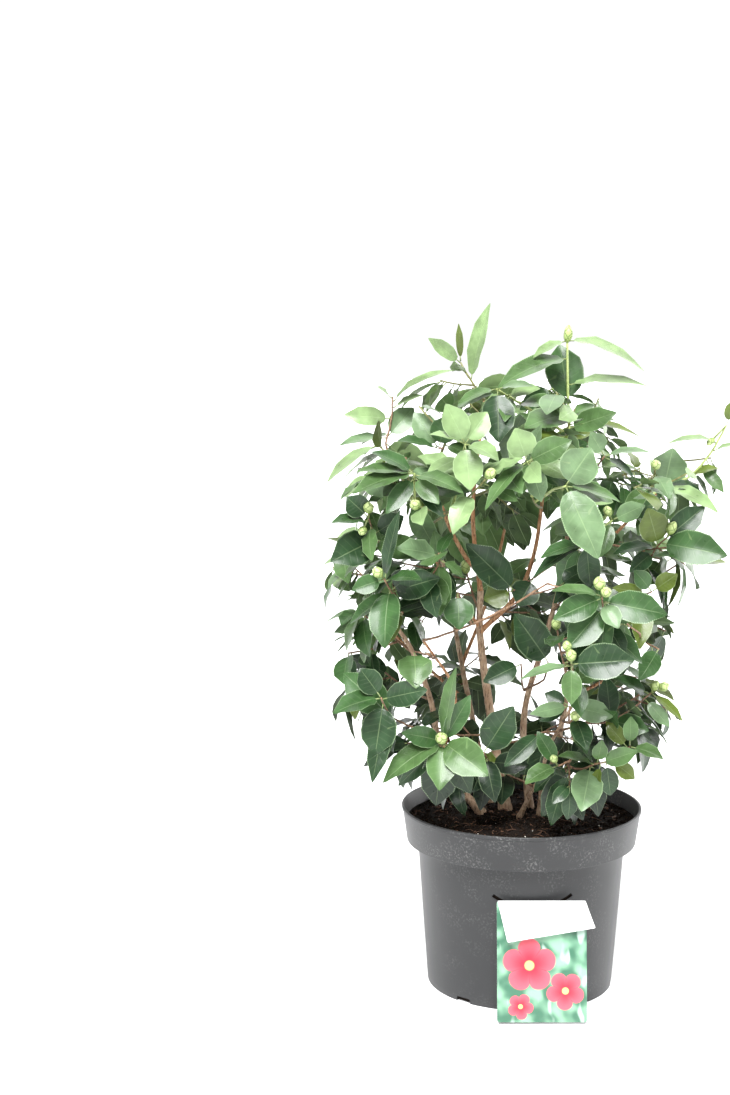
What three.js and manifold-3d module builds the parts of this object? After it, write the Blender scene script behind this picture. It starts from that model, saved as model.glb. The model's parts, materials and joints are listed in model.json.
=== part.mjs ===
// A young camellia shrub in a round plastic nursery pot, with its picture card.
//
// Millimetres. The origin is the centre of the pot's flat underside, +X is to the right, +Y to the
// back and +Z up. A heading is an angle round the pot: 0 is the front, 90 the right, 180 the back.
import * as THREE from "three";
import { mergeVertices } from "three/addons/utils/BufferGeometryUtils.js";
import Module from "manifold-3d";

const wasm = await Module();
wasm.setup();

// Driving dimensions
const CLEARANCE = 0.3;

const POT = {
  height: 218, baseRadius: 111.8, baseChamfer: 1.5, shoulderHeight: 176, neckRadius: 124.8,
  shoulderRadius: 138, lipHeight: 4, bandTopRadius: 143.4, rimRadius: 144.5, wall: 2, facets: 32,
  notches: 6, notchWidth: 20, notchHeight: 6, notchInset: 8, notchHeading: -40.7,
  slotWidth: 92, slotSag: 14, slotGap: 2.4, slotHeight: 127, slotOffset: 4.7, slotReach: 30, slotDepth: 40,
  slotSteps: 8,
};
const SOIL = { height: 203, flatRadius: 96, edgeDrop: 4 };
const CARD = {
  width: 103, length: 138, thickness: 0.8, corner: 3, cornerSteps: 2, offset: 14, topHeight: 138.5,
  topDepth: 127.5, lean: 10.6, flapWidth: 96, flapLength: 28, flapAngle: 16, flapTwist: 5, flapCorner: 1,
  flapSunk: 0.4, flapOut: 0.2, tongueWidth: 20, tongueRise: 0.35, tongueShort: 0.6,
};

// Limbs: each runs through its points, [right, back, up], from thickness `foot` to thickness `tip`.
// A limb with a parent starts on the parent's centre line.
const ROOT_FLARE = { extra: 3.2, length: 16, fullStem: 13 };
const STEM_SHAPE = { sides: 6, steps: 9 };
const BOUGH_SHAPE = { sides: 5, steps: 5 };
const LIMBS = [
  { name: "trunk", foot: 13, tip: 7.5,
    through: [[-17, 30], [-37, 22, 327], [-51, 10, 428], [-51, 8, 478]] },
  { name: "leader_middle", parent: "trunk", foot: 6, tip: 3.4, through: [[-60, 18, 569], [-47, 22, 705]] },
  { name: "leader_left", parent: "leader_middle", along: 0.1, foot: 5.6, tip: 3.4,
    through: [[-70, 0, 521], [-99, -16, 585], [-102, -30, 642]] },
  { name: "leader_right", parent: "trunk", along: 0.82, foot: 6.6, tip: 3.6,
    through: [[-8, 0, 474], [11, 0, 520], [25, 0, 622]] },
  { name: "bough_left_high", parent: "trunk", along: 0.84, foot: 4.4, tip: 3,
    through: [[-88, -20, 488], [-133, -50, 575]] },
  { name: "stem_left", foot: 9.5, tip: 4.2,
    through: [[-47, 10], [-93, -8, 267], [-111, -25, 351], [-135, -35, 416], [-174, -50, 474]] },
  { name: "bough_front_left", parent: "stem_left", along: 0.3, foot: 4.4, tip: 3,
    through: [[-84, -58, 368], [-122, -88, 436]] },
  { name: "stem_right", foot: 9, tip: 3.6,
    through: [[13, 35], [6, 40, 320], [30, 24, 420], [51, 20, 518], [53, 8, 655]] },
  { name: "bough_right", parent: "stem_right", along: 0.6, foot: 5, tip: 3.2,
    through: [[95, 16, 530], [158, 10, 596]] },
  { name: "bough_low_right", foot: 5.5, tip: 3.4, through: [[-2, -4], [18, -42, 258], [44, -62, 276]] },
  { name: "bough_front_right", foot: 5.5, tip: 3.2, through: [[22, 2], [26, -45, 292], [52, -82, 360]] },
  { name: "stem_back_left", foot: 8.5, tip: 3.6, through: [[-34, 62], [-62, 92, 340], [-100, 112, 540]] },
  { name: "stem_back_right", foot: 8.5, tip: 3.6, through: [[36, 66], [66, 92, 350], [96, 118, 600]] },
  { name: "bough_back", parent: "stem_back_left", along: 0.5, foot: 4.6, tip: 3.2,
    through: [[-34, 128, 450], [-8, 134, 560]] },
  { name: "bough_back_left", parent: "stem_back_left", along: 0.36, foot: 4.4, tip: 3,
    through: [[-112, 96, 368], [-160, 78, 420]] },
  { name: "bough_back_right", parent: "stem_back_right", along: 0.32, foot: 4.4, tip: 3,
    through: [[112, 84, 356], [156, 66, 410]] },
];

// Foliage masses: rings of shoots at a height and a reach from the pot's axis, then single shoots
const RINGS = [
  { name: "skirt", height: 298, reach: 106, count: 3, turn: 32, droop: 0.5 },
  { name: "low", height: 372, reach: 158, count: 6, turn: 20, droop: 0.6 },
  { name: "waist", height: 452, reach: 168, count: 6, turn: 46, droop: 0.6 },
  { name: "middle", height: 536, reach: 172, count: 6, turn: 18, droop: 0.5 },
  { name: "upper", height: 630, reach: 160, count: 6, turn: 48, droop: 0.4 },
  { name: "crest", height: 702, reach: 100, count: 4, turn: 24, droop: 0.3 },
  { name: "core", height: 500, reach: 70, count: 2, turn: 80, droop: 0.5 },
  { name: "core_high", height: 600, reach: 60, count: 2, turn: 10, droop: 0.4 },
];
const SHOOTS = [
  { name: "top_shoot", tip: [48, 2, 776], host: "stem_right", buds: 1, droop: 0.35 },
  { name: "top_left_shoot", tip: [-76, 18, 750], host: "leader_middle", droop: -0.15 },
  { name: "far_right_shoot", tip: [190, 4, 690], host: "bough_right", droop: 0.3 },
  { name: "front_rosette", tip: [-100, -112, 322], host: "bough_front_left", buds: 1, droop: 0.5 },
  { name: "front_left_shoot", tip: [-116, -122, 426], host: "bough_front_left", droop: 0.6 },
  { name: "front_shoot", tip: [30, -104, 452], host: "bough_front_right", buds: 1, droop: 0.5 },
];
const SCATTER = { heading: 9, reach: 10, height: 13, budChance: 0.45 };
// The crown's outline, whose floor rises outward, and the gap at its front that shows the trunk's fork
const CROWN = { floor: POT.height + 5, riseFrom: 120, rise: 0.6, reach: 240, top: 822 };
const WINDOW = { left: -84, right: 2, front: 16, low: 296, high: 470, heading: -14, halfWidth: 30 };

// Where a shoot may start on a limb, how it is weighed, and the room that it keeps
const HOST = {
  lowest: 0.3, pitch: 0.05, shortest: 42, longest: 210, apart: 11, climb: 0.35, climbCost: 1.2,
  tipFrom: 0.99, tipBonus: 45, room: 1.2, bearingZone: 9, samples: 24,
};
const TWIG = { footRadius: 1.9, tipRadius: 1.25, sides: 3, steps: 3, sag: 0.1 };
const SIDE_TWIG = {
  from: [0.4, 0.5], footShare: 0.8, steps: 2, length: [49.5, 72.6], spread: [48, 70], outward: 0.25,
  sag: 0.06, tries: 16, endMargin: 10, middleMargin: 4,
};
const HEART = { along: 0.8, outward: 14, drop: 24 };
const CELL = { margin: 0.4, farthest: 260 };
const LEAF = {
  length: 78, lengthSpread: [0.78, 1.14], width: 0.54, widthSpread: [0.92, 1.1], curl: [0.05, 0.2],
  fold: [0.05, 0.22], thickness: 1.6, keel: 1.7, keelStation: 0.08, topStation: 0.46, middleStation: 0.5,
  root: 0.15, neck: 0.25, innerStation: 0.34, outerStation: 0.7, innerWidth: 0.92, outerWidth: 0.82,
};
// Points of a blade, [station, share of the half width], that keep apart from another blade's
const LEAF_SPOTS = [
  [0.42, 0], [0.5, 0.6], [0.5, -0.6], [0.62, 0], [0.72, 0.5], [0.72, -0.5], [0.85, 0], [1, 0],
];
// How leaves are set on a twig: back from its tip by turns, each tried again with more play
const SETTING = {
  terminalFrom: 0.97, terminalStep: 0.04, terminalSpread: [42, 54, 66], spread: 74, spacing: 19,
  turn: 137.5, stemShare: 0.76, sideShare: 0.7, tries: 14, shrink: 0.965, turnPlay: 12, spreadPlay: 8,
  spreadMore: 4, droop: [0.4, 1.6], outward: 0.2, faceOutward: 1.2, faceTilt: 0.35, room: 0.9, rootZone: 9,
  spotGap: 5, farOff: 0.6, within: 0.62,
};
const BUD = { radius: 6.2, stretch: 1.3, sunk: 1.5, sides: 5, bands: 3, room: 1 };
const SEED = 71;
const MASS_SEED = { first: 71000, step: 37 };

const COLOURS = {
  pot: 0x2b2d2f, soil: 0x3a281c, card: 0xdfe6d8, trunk: 0x8a7258, bough: 0x9a6740,
  leaves: [0x3f6b3c, 0x4d7a45, 0x35603a, 0x6a9355],
};

// Random numbers that are the same each time
class Seeded {
  static modulus = 2147483647;

  constructor(seed) {
    this.state = (seed * 48271 + 11) % Seeded.modulus;
    this.next();
  }

  next() {
    this.state = (this.state * 16807) % Seeded.modulus;
    return this.state / Seeded.modulus;
  }

  between([low, high]) {
    return low + (high - low) * this.next();
  }

  around(spread) {
    return spread * (2 * this.next() - 1);
  }
}

const UP = new THREE.Vector3(0, 0, 1);
const radians = THREE.MathUtils.degToRad;

function at(heading, reach, height) {
  const angle = radians(heading);
  return new THREE.Vector3(reach * Math.sin(angle), -reach * Math.cos(angle), height);
}

// Whether a leaf may reach a point: inside the crown's outline and not in its front gap
function inCrown({ x, y, z }) {
  const reach = Math.hypot(x, y);
  const floor = CROWN.floor + CROWN.rise * Math.max(0, reach - CROWN.riseFrom);
  if (reach > CROWN.reach || z > CROWN.top || z < floor) return false;
  return x < WINDOW.left || x > WINDOW.right || y > WINDOW.front || z < WINDOW.low || z > WINDOW.high;
}

// Solids
function positionsOnly(geometry) {
  geometry.deleteAttribute("normal");
  geometry.deleteAttribute("uv");
  return mergeVertices(geometry, 1e-4);
}

function solidOf(geometry) {
  const bare = positionsOnly(geometry);
  const vertProperties = Float32Array.from(bare.attributes.position.array);
  const triVerts = Uint32Array.from(bare.index.array);
  return new wasm.Manifold(new wasm.Mesh({ numProp: 3, vertProperties, triVerts }));
}

function geometryOf(solid) {
  const mesh = solid.getMesh();
  const geometry = new THREE.BufferGeometry();
  geometry.setAttribute("position", new THREE.BufferAttribute(mesh.vertProperties, 3));
  geometry.setIndex(new THREE.BufferAttribute(mesh.triVerts, 1));
  geometry.computeVertexNormals();
  return geometry;
}

// The outer skin of the largest piece: loose scraps are dropped and sealed hollows filled
function largestPiece(solid) {
  const pieces = solid.decompose();
  return pieces.reduce((best, piece) => (piece.volume() > best.volume() ? piece : best));
}

function meshOf(name, geometry, colour, roughness, metalness = 0) {
  const material = new THREE.MeshStandardMaterial({ color: colour, roughness, metalness });
  const mesh = new THREE.Mesh(geometry, material);
  mesh.name = name;
  return mesh;
}

// A mesh whose geometry is measured from its own start point
function placedMesh(name, solid, start, colour, roughness) {
  const geometry = geometryOf(solid);
  geometry.translate(-start.x, -start.y, -start.z);
  const mesh = meshOf(name, geometry, colour, roughness);
  mesh.position.copy(start);
  return mesh;
}

// A tapering round limb: a cylinder bent along a curve
class Limb {
  constructor({ curve, foot, tip, sides, steps, flare = 0, floor = null }) {
    Object.assign(this, { curve, sides, steps, flare, floor });
    this.footRadius = foot / 2;
    this.tipRadius = tip / 2;
    this.length = curve.getLength();
    const chord = curve.getPointAt(1).sub(curve.getPointAt(0)).normalize();
    const isSteep = Math.abs(chord.z) > 0.8;
    const reference = isSteep ? new THREE.Vector3(0, 1, 0) : UP;
    this.side = new THREE.Vector3().crossVectors(reference, chord).normalize();
  }

  radiusAt(along) {
    const flare = this.flare * Math.exp((-along * this.length) / ROOT_FLARE.length);
    return THREE.MathUtils.lerp(this.footRadius, this.tipRadius, along) + flare;
  }

  frameAt(along) {
    const axis = this.curve.getTangentAt(along);
    const side = this.side.clone().addScaledVector(axis, -this.side.dot(axis)).normalize();
    const other = new THREE.Vector3().crossVectors(side, axis);
    return { point: this.curve.getPointAt(along), axis, side, other };
  }

  // The solid, or a larger one to cut a neighbour with, that keeps `grow` clear of it
  solid(grow = 0) {
    const geometry = positionsOnly(new THREE.CylinderGeometry(1, 1, 1, this.sides, this.steps));
    const position = geometry.attributes.position;
    const outward = grow / Math.cos(Math.PI / this.sides);
    const vertex = new THREE.Vector3();
    for (let i = 0; i < position.count; i += 1) {
      vertex.fromBufferAttribute(position, i);
      const along = THREE.MathUtils.clamp(vertex.y + 0.5, 0, 1);
      const { point, axis, side, other } = this.frameAt(along);
      const onAxis = Math.hypot(vertex.x, vertex.z) < 0.5;
      const radius = onAxis ? 0 : this.radiusAt(along) + outward;
      point.addScaledVector(side, vertex.x * radius).addScaledVector(other, vertex.z * radius);
      if (along === 0) point.addScaledVector(axis, -grow);
      if (along === 1) point.addScaledVector(axis, grow);
      if (along === 0 && this.floor !== null) point.z = this.floor - grow;
      position.setXYZ(i, point.x, point.y, point.z);
    }
    return solidOf(geometry);
  }

  // Balls strung along the centre line, for testing what comes near
  balls(pitch = 3, owner = null) {
    const count = Math.ceil(this.length / pitch);
    return Array.from({ length: count + 1 }, (_, i) => {
      const along = i / count;
      return { centre: this.curve.getPointAt(along), radius: this.radiusAt(along), owner };
    });
  }
}

// The pot, a turned shell with drain notches round its foot and a slot for the card
function potProfile(inset) {
  return {
    baseRadius: POT.baseRadius - inset, neckRadius: POT.neckRadius - inset,
    shoulderRadius: POT.shoulderRadius - inset, bandTopRadius: POT.bandTopRadius - inset,
    floor: inset, shoulder: POT.shoulderHeight + inset, lip: POT.height - POT.lipHeight,
  };
}

function wallRadius(height) {
  return THREE.MathUtils.lerp(POT.baseRadius, POT.neckRadius, height / POT.shoulderHeight);
}

function turned(points) {
  const profile = points.map(([radius, height]) => new THREE.Vector2(radius, height));
  const geometry = new THREE.LatheGeometry(profile, POT.facets);
  geometry.rotateX(Math.PI / 2);
  return solidOf(geometry);
}

function potSlot() {
  const { slotWidth, slotSag, slotGap, slotHeight, slotOffset } = POT;
  const radius = ((slotWidth / 2) ** 2 + slotSag ** 2) / (2 * slotSag);
  const half = Math.asin(slotWidth / 2 / radius);
  const shape = new THREE.Shape();
  const from = -Math.PI / 2 - half;
  const to = -Math.PI / 2 + half;
  shape.absarc(0, 0, radius + slotGap / 2, from, to, false);
  shape.absarc(0, 0, radius - slotGap / 2, to, from, true);
  const sweep = { depth: POT.slotDepth, bevelEnabled: false, curveSegments: POT.slotSteps };
  const geometry = new THREE.ExtrudeGeometry(shape, sweep);
  geometry.rotateX(Math.PI / 2);
  geometry.translate(slotOffset, POT.slotReach - POT.neckRadius, slotHeight + radius);
  return solidOf(geometry);
}

function potNotch(index) {
  const depth = POT.notchInset * 2;
  const geometry = new THREE.BoxGeometry(POT.notchWidth, depth, POT.notchHeight * 2);
  geometry.translate(0, -POT.baseRadius, 0);
  geometry.rotateZ(radians(POT.notchHeading + (index * 360) / POT.notches));
  return solidOf(geometry);
}

function makePot() {
  const outer = potProfile(0);
  const inner = potProfile(POT.wall);
  let pot = turned([
    [0, 0], [outer.baseRadius - POT.baseChamfer, 0], [outer.baseRadius, POT.baseChamfer],
    [outer.neckRadius, outer.shoulder], [outer.shoulderRadius, outer.shoulder],
    [outer.bandTopRadius, outer.lip], [POT.rimRadius, outer.lip], [POT.rimRadius, POT.height],
    [inner.bandTopRadius, POT.height], [inner.bandTopRadius, inner.lip],
    [inner.shoulderRadius, inner.shoulder], [inner.neckRadius, inner.shoulder],
    [inner.baseRadius, inner.floor], [0, inner.floor],
  ]);
  for (let i = 0; i < POT.notches; i += 1) pot = pot.subtract(potNotch(i));
  return largestPiece(pot.subtract(potSlot()));
}

function makeSoil() {
  const inner = potProfile(POT.wall + CLEARANCE);
  const slope = (inner.bandTopRadius - inner.shoulderRadius) / (inner.lip - inner.shoulder);
  const edge = SOIL.height - SOIL.edgeDrop;
  return turned([
    [0, inner.floor], [inner.baseRadius, inner.floor], [inner.neckRadius, inner.shoulder],
    [inner.shoulderRadius, inner.shoulder], [inner.shoulderRadius + slope * (edge - inner.shoulder), edge],
    [SOIL.flatRadius, SOIL.height], [0, SOIL.height],
  ]);
}

// The card: a sheet that leans out from the pot, a flap folded down over its top edge, and a tongue
// that goes back through the pot's slot
function roundedSheet(width, length, corner, thickness) {
  const shape = new THREE.Shape();
  const half = width / 2;
  shape.absarc(half - corner, -corner, corner, Math.PI / 2, 0, true);
  shape.absarc(half - corner, corner - length, corner, 0, -Math.PI / 2, true);
  shape.absarc(corner - half, corner - length, corner, -Math.PI / 2, -Math.PI, true);
  shape.absarc(corner - half, -corner, corner, Math.PI, Math.PI / 2, true);
  const sweep = { depth: thickness, bevelEnabled: false, curveSegments: CARD.cornerSteps };
  const geometry = new THREE.ExtrudeGeometry(shape, sweep);
  geometry.rotateX(Math.PI / 2);
  return geometry;
}

function makeCard() {
  const { width, length, thickness, corner, flapWidth, flapLength, flapAngle, flapTwist } = CARD;
  const { tongueWidth, tongueRise, tongueShort } = CARD;
  const lean = radians(CARD.lean);
  const sheet = roundedSheet(width, length, corner, thickness);
  sheet.rotateX(-lean);
  const flap = roundedSheet(flapWidth, flapLength, CARD.flapCorner, thickness);
  flap.translate(0, -thickness * CARD.flapSunk, thickness * CARD.flapOut);
  flap.rotateY(radians(flapTwist));
  flap.rotateX(-lean - radians(flapAngle));
  const tongueDrop = CARD.topHeight - POT.slotHeight - tongueRise;
  const tongueRoot = -tongueDrop * Math.tan(lean) - thickness / 2;
  const tongueEnd = CARD.topDepth - wallRadius(POT.slotHeight) + POT.wall - tongueShort;
  const tongue = new THREE.BoxGeometry(tongueWidth, tongueEnd - tongueRoot, thickness);
  tongue.translate(POT.slotOffset - CARD.offset, (tongueEnd + tongueRoot) / 2, -tongueDrop);
  const card = solidOf(sheet).add(solidOf(flap)).add(solidOf(tongue));
  return largestPiece(card);
}

// Limbs
function makeLimbs() {
  const limbs = new Map();
  for (const { name, parent, along = 1, foot, tip, through } of LIMBS) {
    const route = through.map(([x, y, z = SOIL.height + CLEARANCE]) => new THREE.Vector3(x, y, z));
    const host = parent ? limbs.get(parent) : null;
    if (host) route.unshift(host.curve.getPointAt(along));
    const curve = new THREE.CatmullRomCurve3(route, false, "centripetal");
    const flare = ROOT_FLARE.extra * (foot / ROOT_FLARE.fullStem);
    const rooted = { ...STEM_SHAPE, flare, floor: SOIL.height + CLEARANCE };
    limbs.set(name, new Limb({ curve, foot, tip, ...(host ? BOUGH_SHAPE : rooted) }));
  }
  return limbs;
}

// Each limb's solid, cut clear of the ones before it
function limbSolids(limbs) {
  const solids = new Map();
  const cutters = [];
  for (const [name, limb] of limbs) {
    let solid = limb.solid();
    for (const cutter of cutters) solid = solid.subtract(cutter);
    solids.set(name, largestPiece(solid));
    cutters.push(limb.solid(CLEARANCE));
  }
  return { solids, cutters };
}

// Where the masses' shoots end
function shootPlan() {
  const random = new Seeded(SEED);
  const plan = SHOOTS.map((shoot) => ({ buds: 0, ...shoot, tip: new THREE.Vector3(...shoot.tip) }));
  for (const ring of RINGS) {
    for (let i = 0; i < ring.count; i += 1) {
      const place = ring.turn + (i * 360) / ring.count;
      const heading = place + random.around(SCATTER.heading);
      const reach = ring.reach + random.around(SCATTER.reach);
      const height = ring.height + random.around(SCATTER.height);
      const buds = random.next() < SCATTER.budChance ? 1 : 0;
      const aside = Math.abs(THREE.MathUtils.euclideanModulo(place - WINDOW.heading + 180, 360) - 180);
      if (aside < WINDOW.halfWidth && ring.height > WINDOW.low && ring.height < WINDOW.high) continue;
      const tip = at(heading, reach, height);
      plan.push({ name: `${ring.name}_${i + 1}`, tip, droop: ring.droop, buds });
    }
  }
  return plan;
}

// The least room between a twig's curve and the balls, apart from those at the limb that bears it
function clearance(curve, balls, radius, bearing = null) {
  let least = Infinity;
  for (let i = 0; i <= HOST.samples; i += 1) {
    const point = curve.getPoint(i / HOST.samples);
    for (const ball of balls) {
      if (bearing && ball.centre.distanceTo(bearing) < HOST.bearingZone + ball.radius) continue;
      least = Math.min(least, point.distanceTo(ball.centre) - ball.radius - radius);
    }
  }
  return least;
}

function saggingCurve(start, end, sag) {
  const middle = start.clone().lerp(end, 0.5);
  middle.z -= sag * start.distanceTo(end);
  return new THREE.QuadraticBezierCurve3(start, middle, end);
}

// The limb point that a shoot grows from: near, below and inward, with a clear way out
function findHost(shoot, limbs, balls, taken) {
  let best = null;
  for (const [name, limb] of limbs) {
    if (shoot.host && shoot.host !== name) continue;
    for (let along = HOST.lowest; along <= 1.0001; along += HOST.pitch) {
      const start = limb.curve.getPointAt(Math.min(along, 1));
      const way = shoot.tip.clone().sub(start);
      const length = way.length();
      if (length < HOST.shortest || length > HOST.longest) continue;
      if (taken.some((other) => other.distanceTo(start) < HOST.apart)) continue;
      const inward = Math.hypot(start.x, start.y) - Math.hypot(shoot.tip.x, shoot.tip.y);
      const levelCost = Math.max(0, HOST.climb * length - way.z) * HOST.climbCost;
      const bonus = along > HOST.tipFrom ? HOST.tipBonus : 0;
      const cost = length + levelCost + Math.max(0, inward) - bonus;
      if (best && cost >= best.cost) continue;
      const curve = saggingCurve(start, shoot.tip, TWIG.sag);
      if (clearance(curve, balls, TWIG.footRadius, start) < HOST.room) continue;
      best = { cost, name, start, curve };
    }
  }
  return best;
}

function twigLimb(curve, footRadius, steps) {
  return new Limb({ curve, foot: footRadius * 2, tip: TWIG.tipRadius * 2, sides: TWIG.sides, steps });
}

// A mass's own space: all that is nearer to its heart than to any other mass's
class Cell {
  constructor(heart, others) {
    this.planes = others.filter((other) => other.distanceTo(heart) < CELL.farthest).map((other) => {
      const normal = other.clone().sub(heart).normalize();
      const offset = normal.dot(heart.clone().lerp(other, 0.5));
      return { normal, offset };
    });
  }

  holds(point, margin = CELL.margin) {
    if (!inCrown(point)) return false;
    return this.planes.every(({ normal, offset }) => normal.dot(point) < offset - margin);
  }
}

// A leaf: a sphere of six sides drawn out to a pointed blade, with a keel under its root
class Leaf {
  constructor(root, along, face, length, width, curl, fold) {
    this.root = root;
    this.length = length;
    const up = face.clone().addScaledVector(along, -face.dot(along)).normalize();
    const across = new THREE.Vector3().crossVectors(along, up);
    const place = (u, v, w) => root.clone()
      .addScaledVector(along, u - LEAF.root)
      .addScaledVector(across, v)
      .addScaledVector(up, w - curl * (u / length) ** 2 * length + fold * Math.abs(v));
    const half = width / 2;
    const inner = (side) => place(LEAF.innerStation * length, side * LEAF.innerWidth * half, 0);
    const outer = (side) => place(LEAF.outerStation * length, side * LEAF.outerWidth * half, 0);
    this.ring = [place(0, 0, 0), inner(1), outer(1), place(length, 0, 0), outer(-1), inner(-1)];
    this.top = place(LEAF.topStation * length, 0, LEAF.thickness / 2);
    this.keel = place(LEAF.keelStation * length, 0, -LEAF.keel);
    this.middle = place(LEAF.middleStation * length, 0, 0);
    this.spots = LEAF_SPOTS.map(([u, v]) => place(u * length, v * half, 0));
    const neck = (corner) => this.ring[0].clone().lerp(corner, LEAF.neck);
    const [, innerRight, outerRight, point, outerLeft, innerLeft] = this.ring;
    this.edges = [
      [neck(innerRight), innerRight], [innerRight, outerRight], [outerRight, point], [point, outerLeft],
      [outerLeft, innerLeft], [innerLeft, neck(innerLeft)], [neck(this.middle), point],
    ];
  }

  solid() {
    const geometry = positionsOnly(new THREE.SphereGeometry(1, 6, 2));
    const position = geometry.attributes.position;
    for (let i = 0; i < position.count; i += 1) {
      const [x, y, z] = [position.getX(i), position.getY(i), position.getZ(i)];
      const station = Math.round((Math.atan2(z, -x) / Math.PI) * 3);
      const ringPoint = this.ring[(station + 6) % 6];
      const point = y > 0.5 ? this.top : y < -0.5 ? this.keel : ringPoint;
      position.setXYZ(i, point.x, point.y, point.z);
    }
    return solidOf(geometry);
  }

  clears(balls) {
    const triangle = new THREE.Triangle();
    const nearest = new THREE.Vector3();
    for (const ball of balls) {
      if (ball.centre.distanceTo(this.middle) > this.length * SETTING.within + ball.radius) continue;
      for (let i = 0; i < 6; i += 1) {
        triangle.set(this.middle, this.ring[i], this.ring[(i + 1) % 6]);
        triangle.closestPointToPoint(ball.centre, nearest);
        if (nearest.distanceTo(ball.centre) < ball.radius + LEAF.keel + SETTING.room) return false;
      }
    }
    return true;
  }

  cutsInto(other) {
    const hit = new THREE.Vector3();
    return this.edges.some(([from, to]) => {
      const ray = new THREE.Ray(from, to.clone().sub(from).normalize());
      return other.ring.some((corner, i) => {
        const found = ray.intersectTriangle(other.middle, corner, other.ring[(i + 1) % 6], false, hit);
        return found !== null && hit.distanceTo(from) < to.distanceTo(from);
      });
    });
  }

  misses(other) {
    const farOff = SETTING.farOff * (this.length + other.length);
    if (this.middle.distanceTo(other.middle) > farOff) return true;
    const isClear = (spot) => other.spots.every((near) => spot.distanceTo(near) > SETTING.spotGap);
    const apart = this.spots.every(isClear);
    return apart && !this.cutsInto(other) && !other.cutsInto(this);
  }
}

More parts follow.
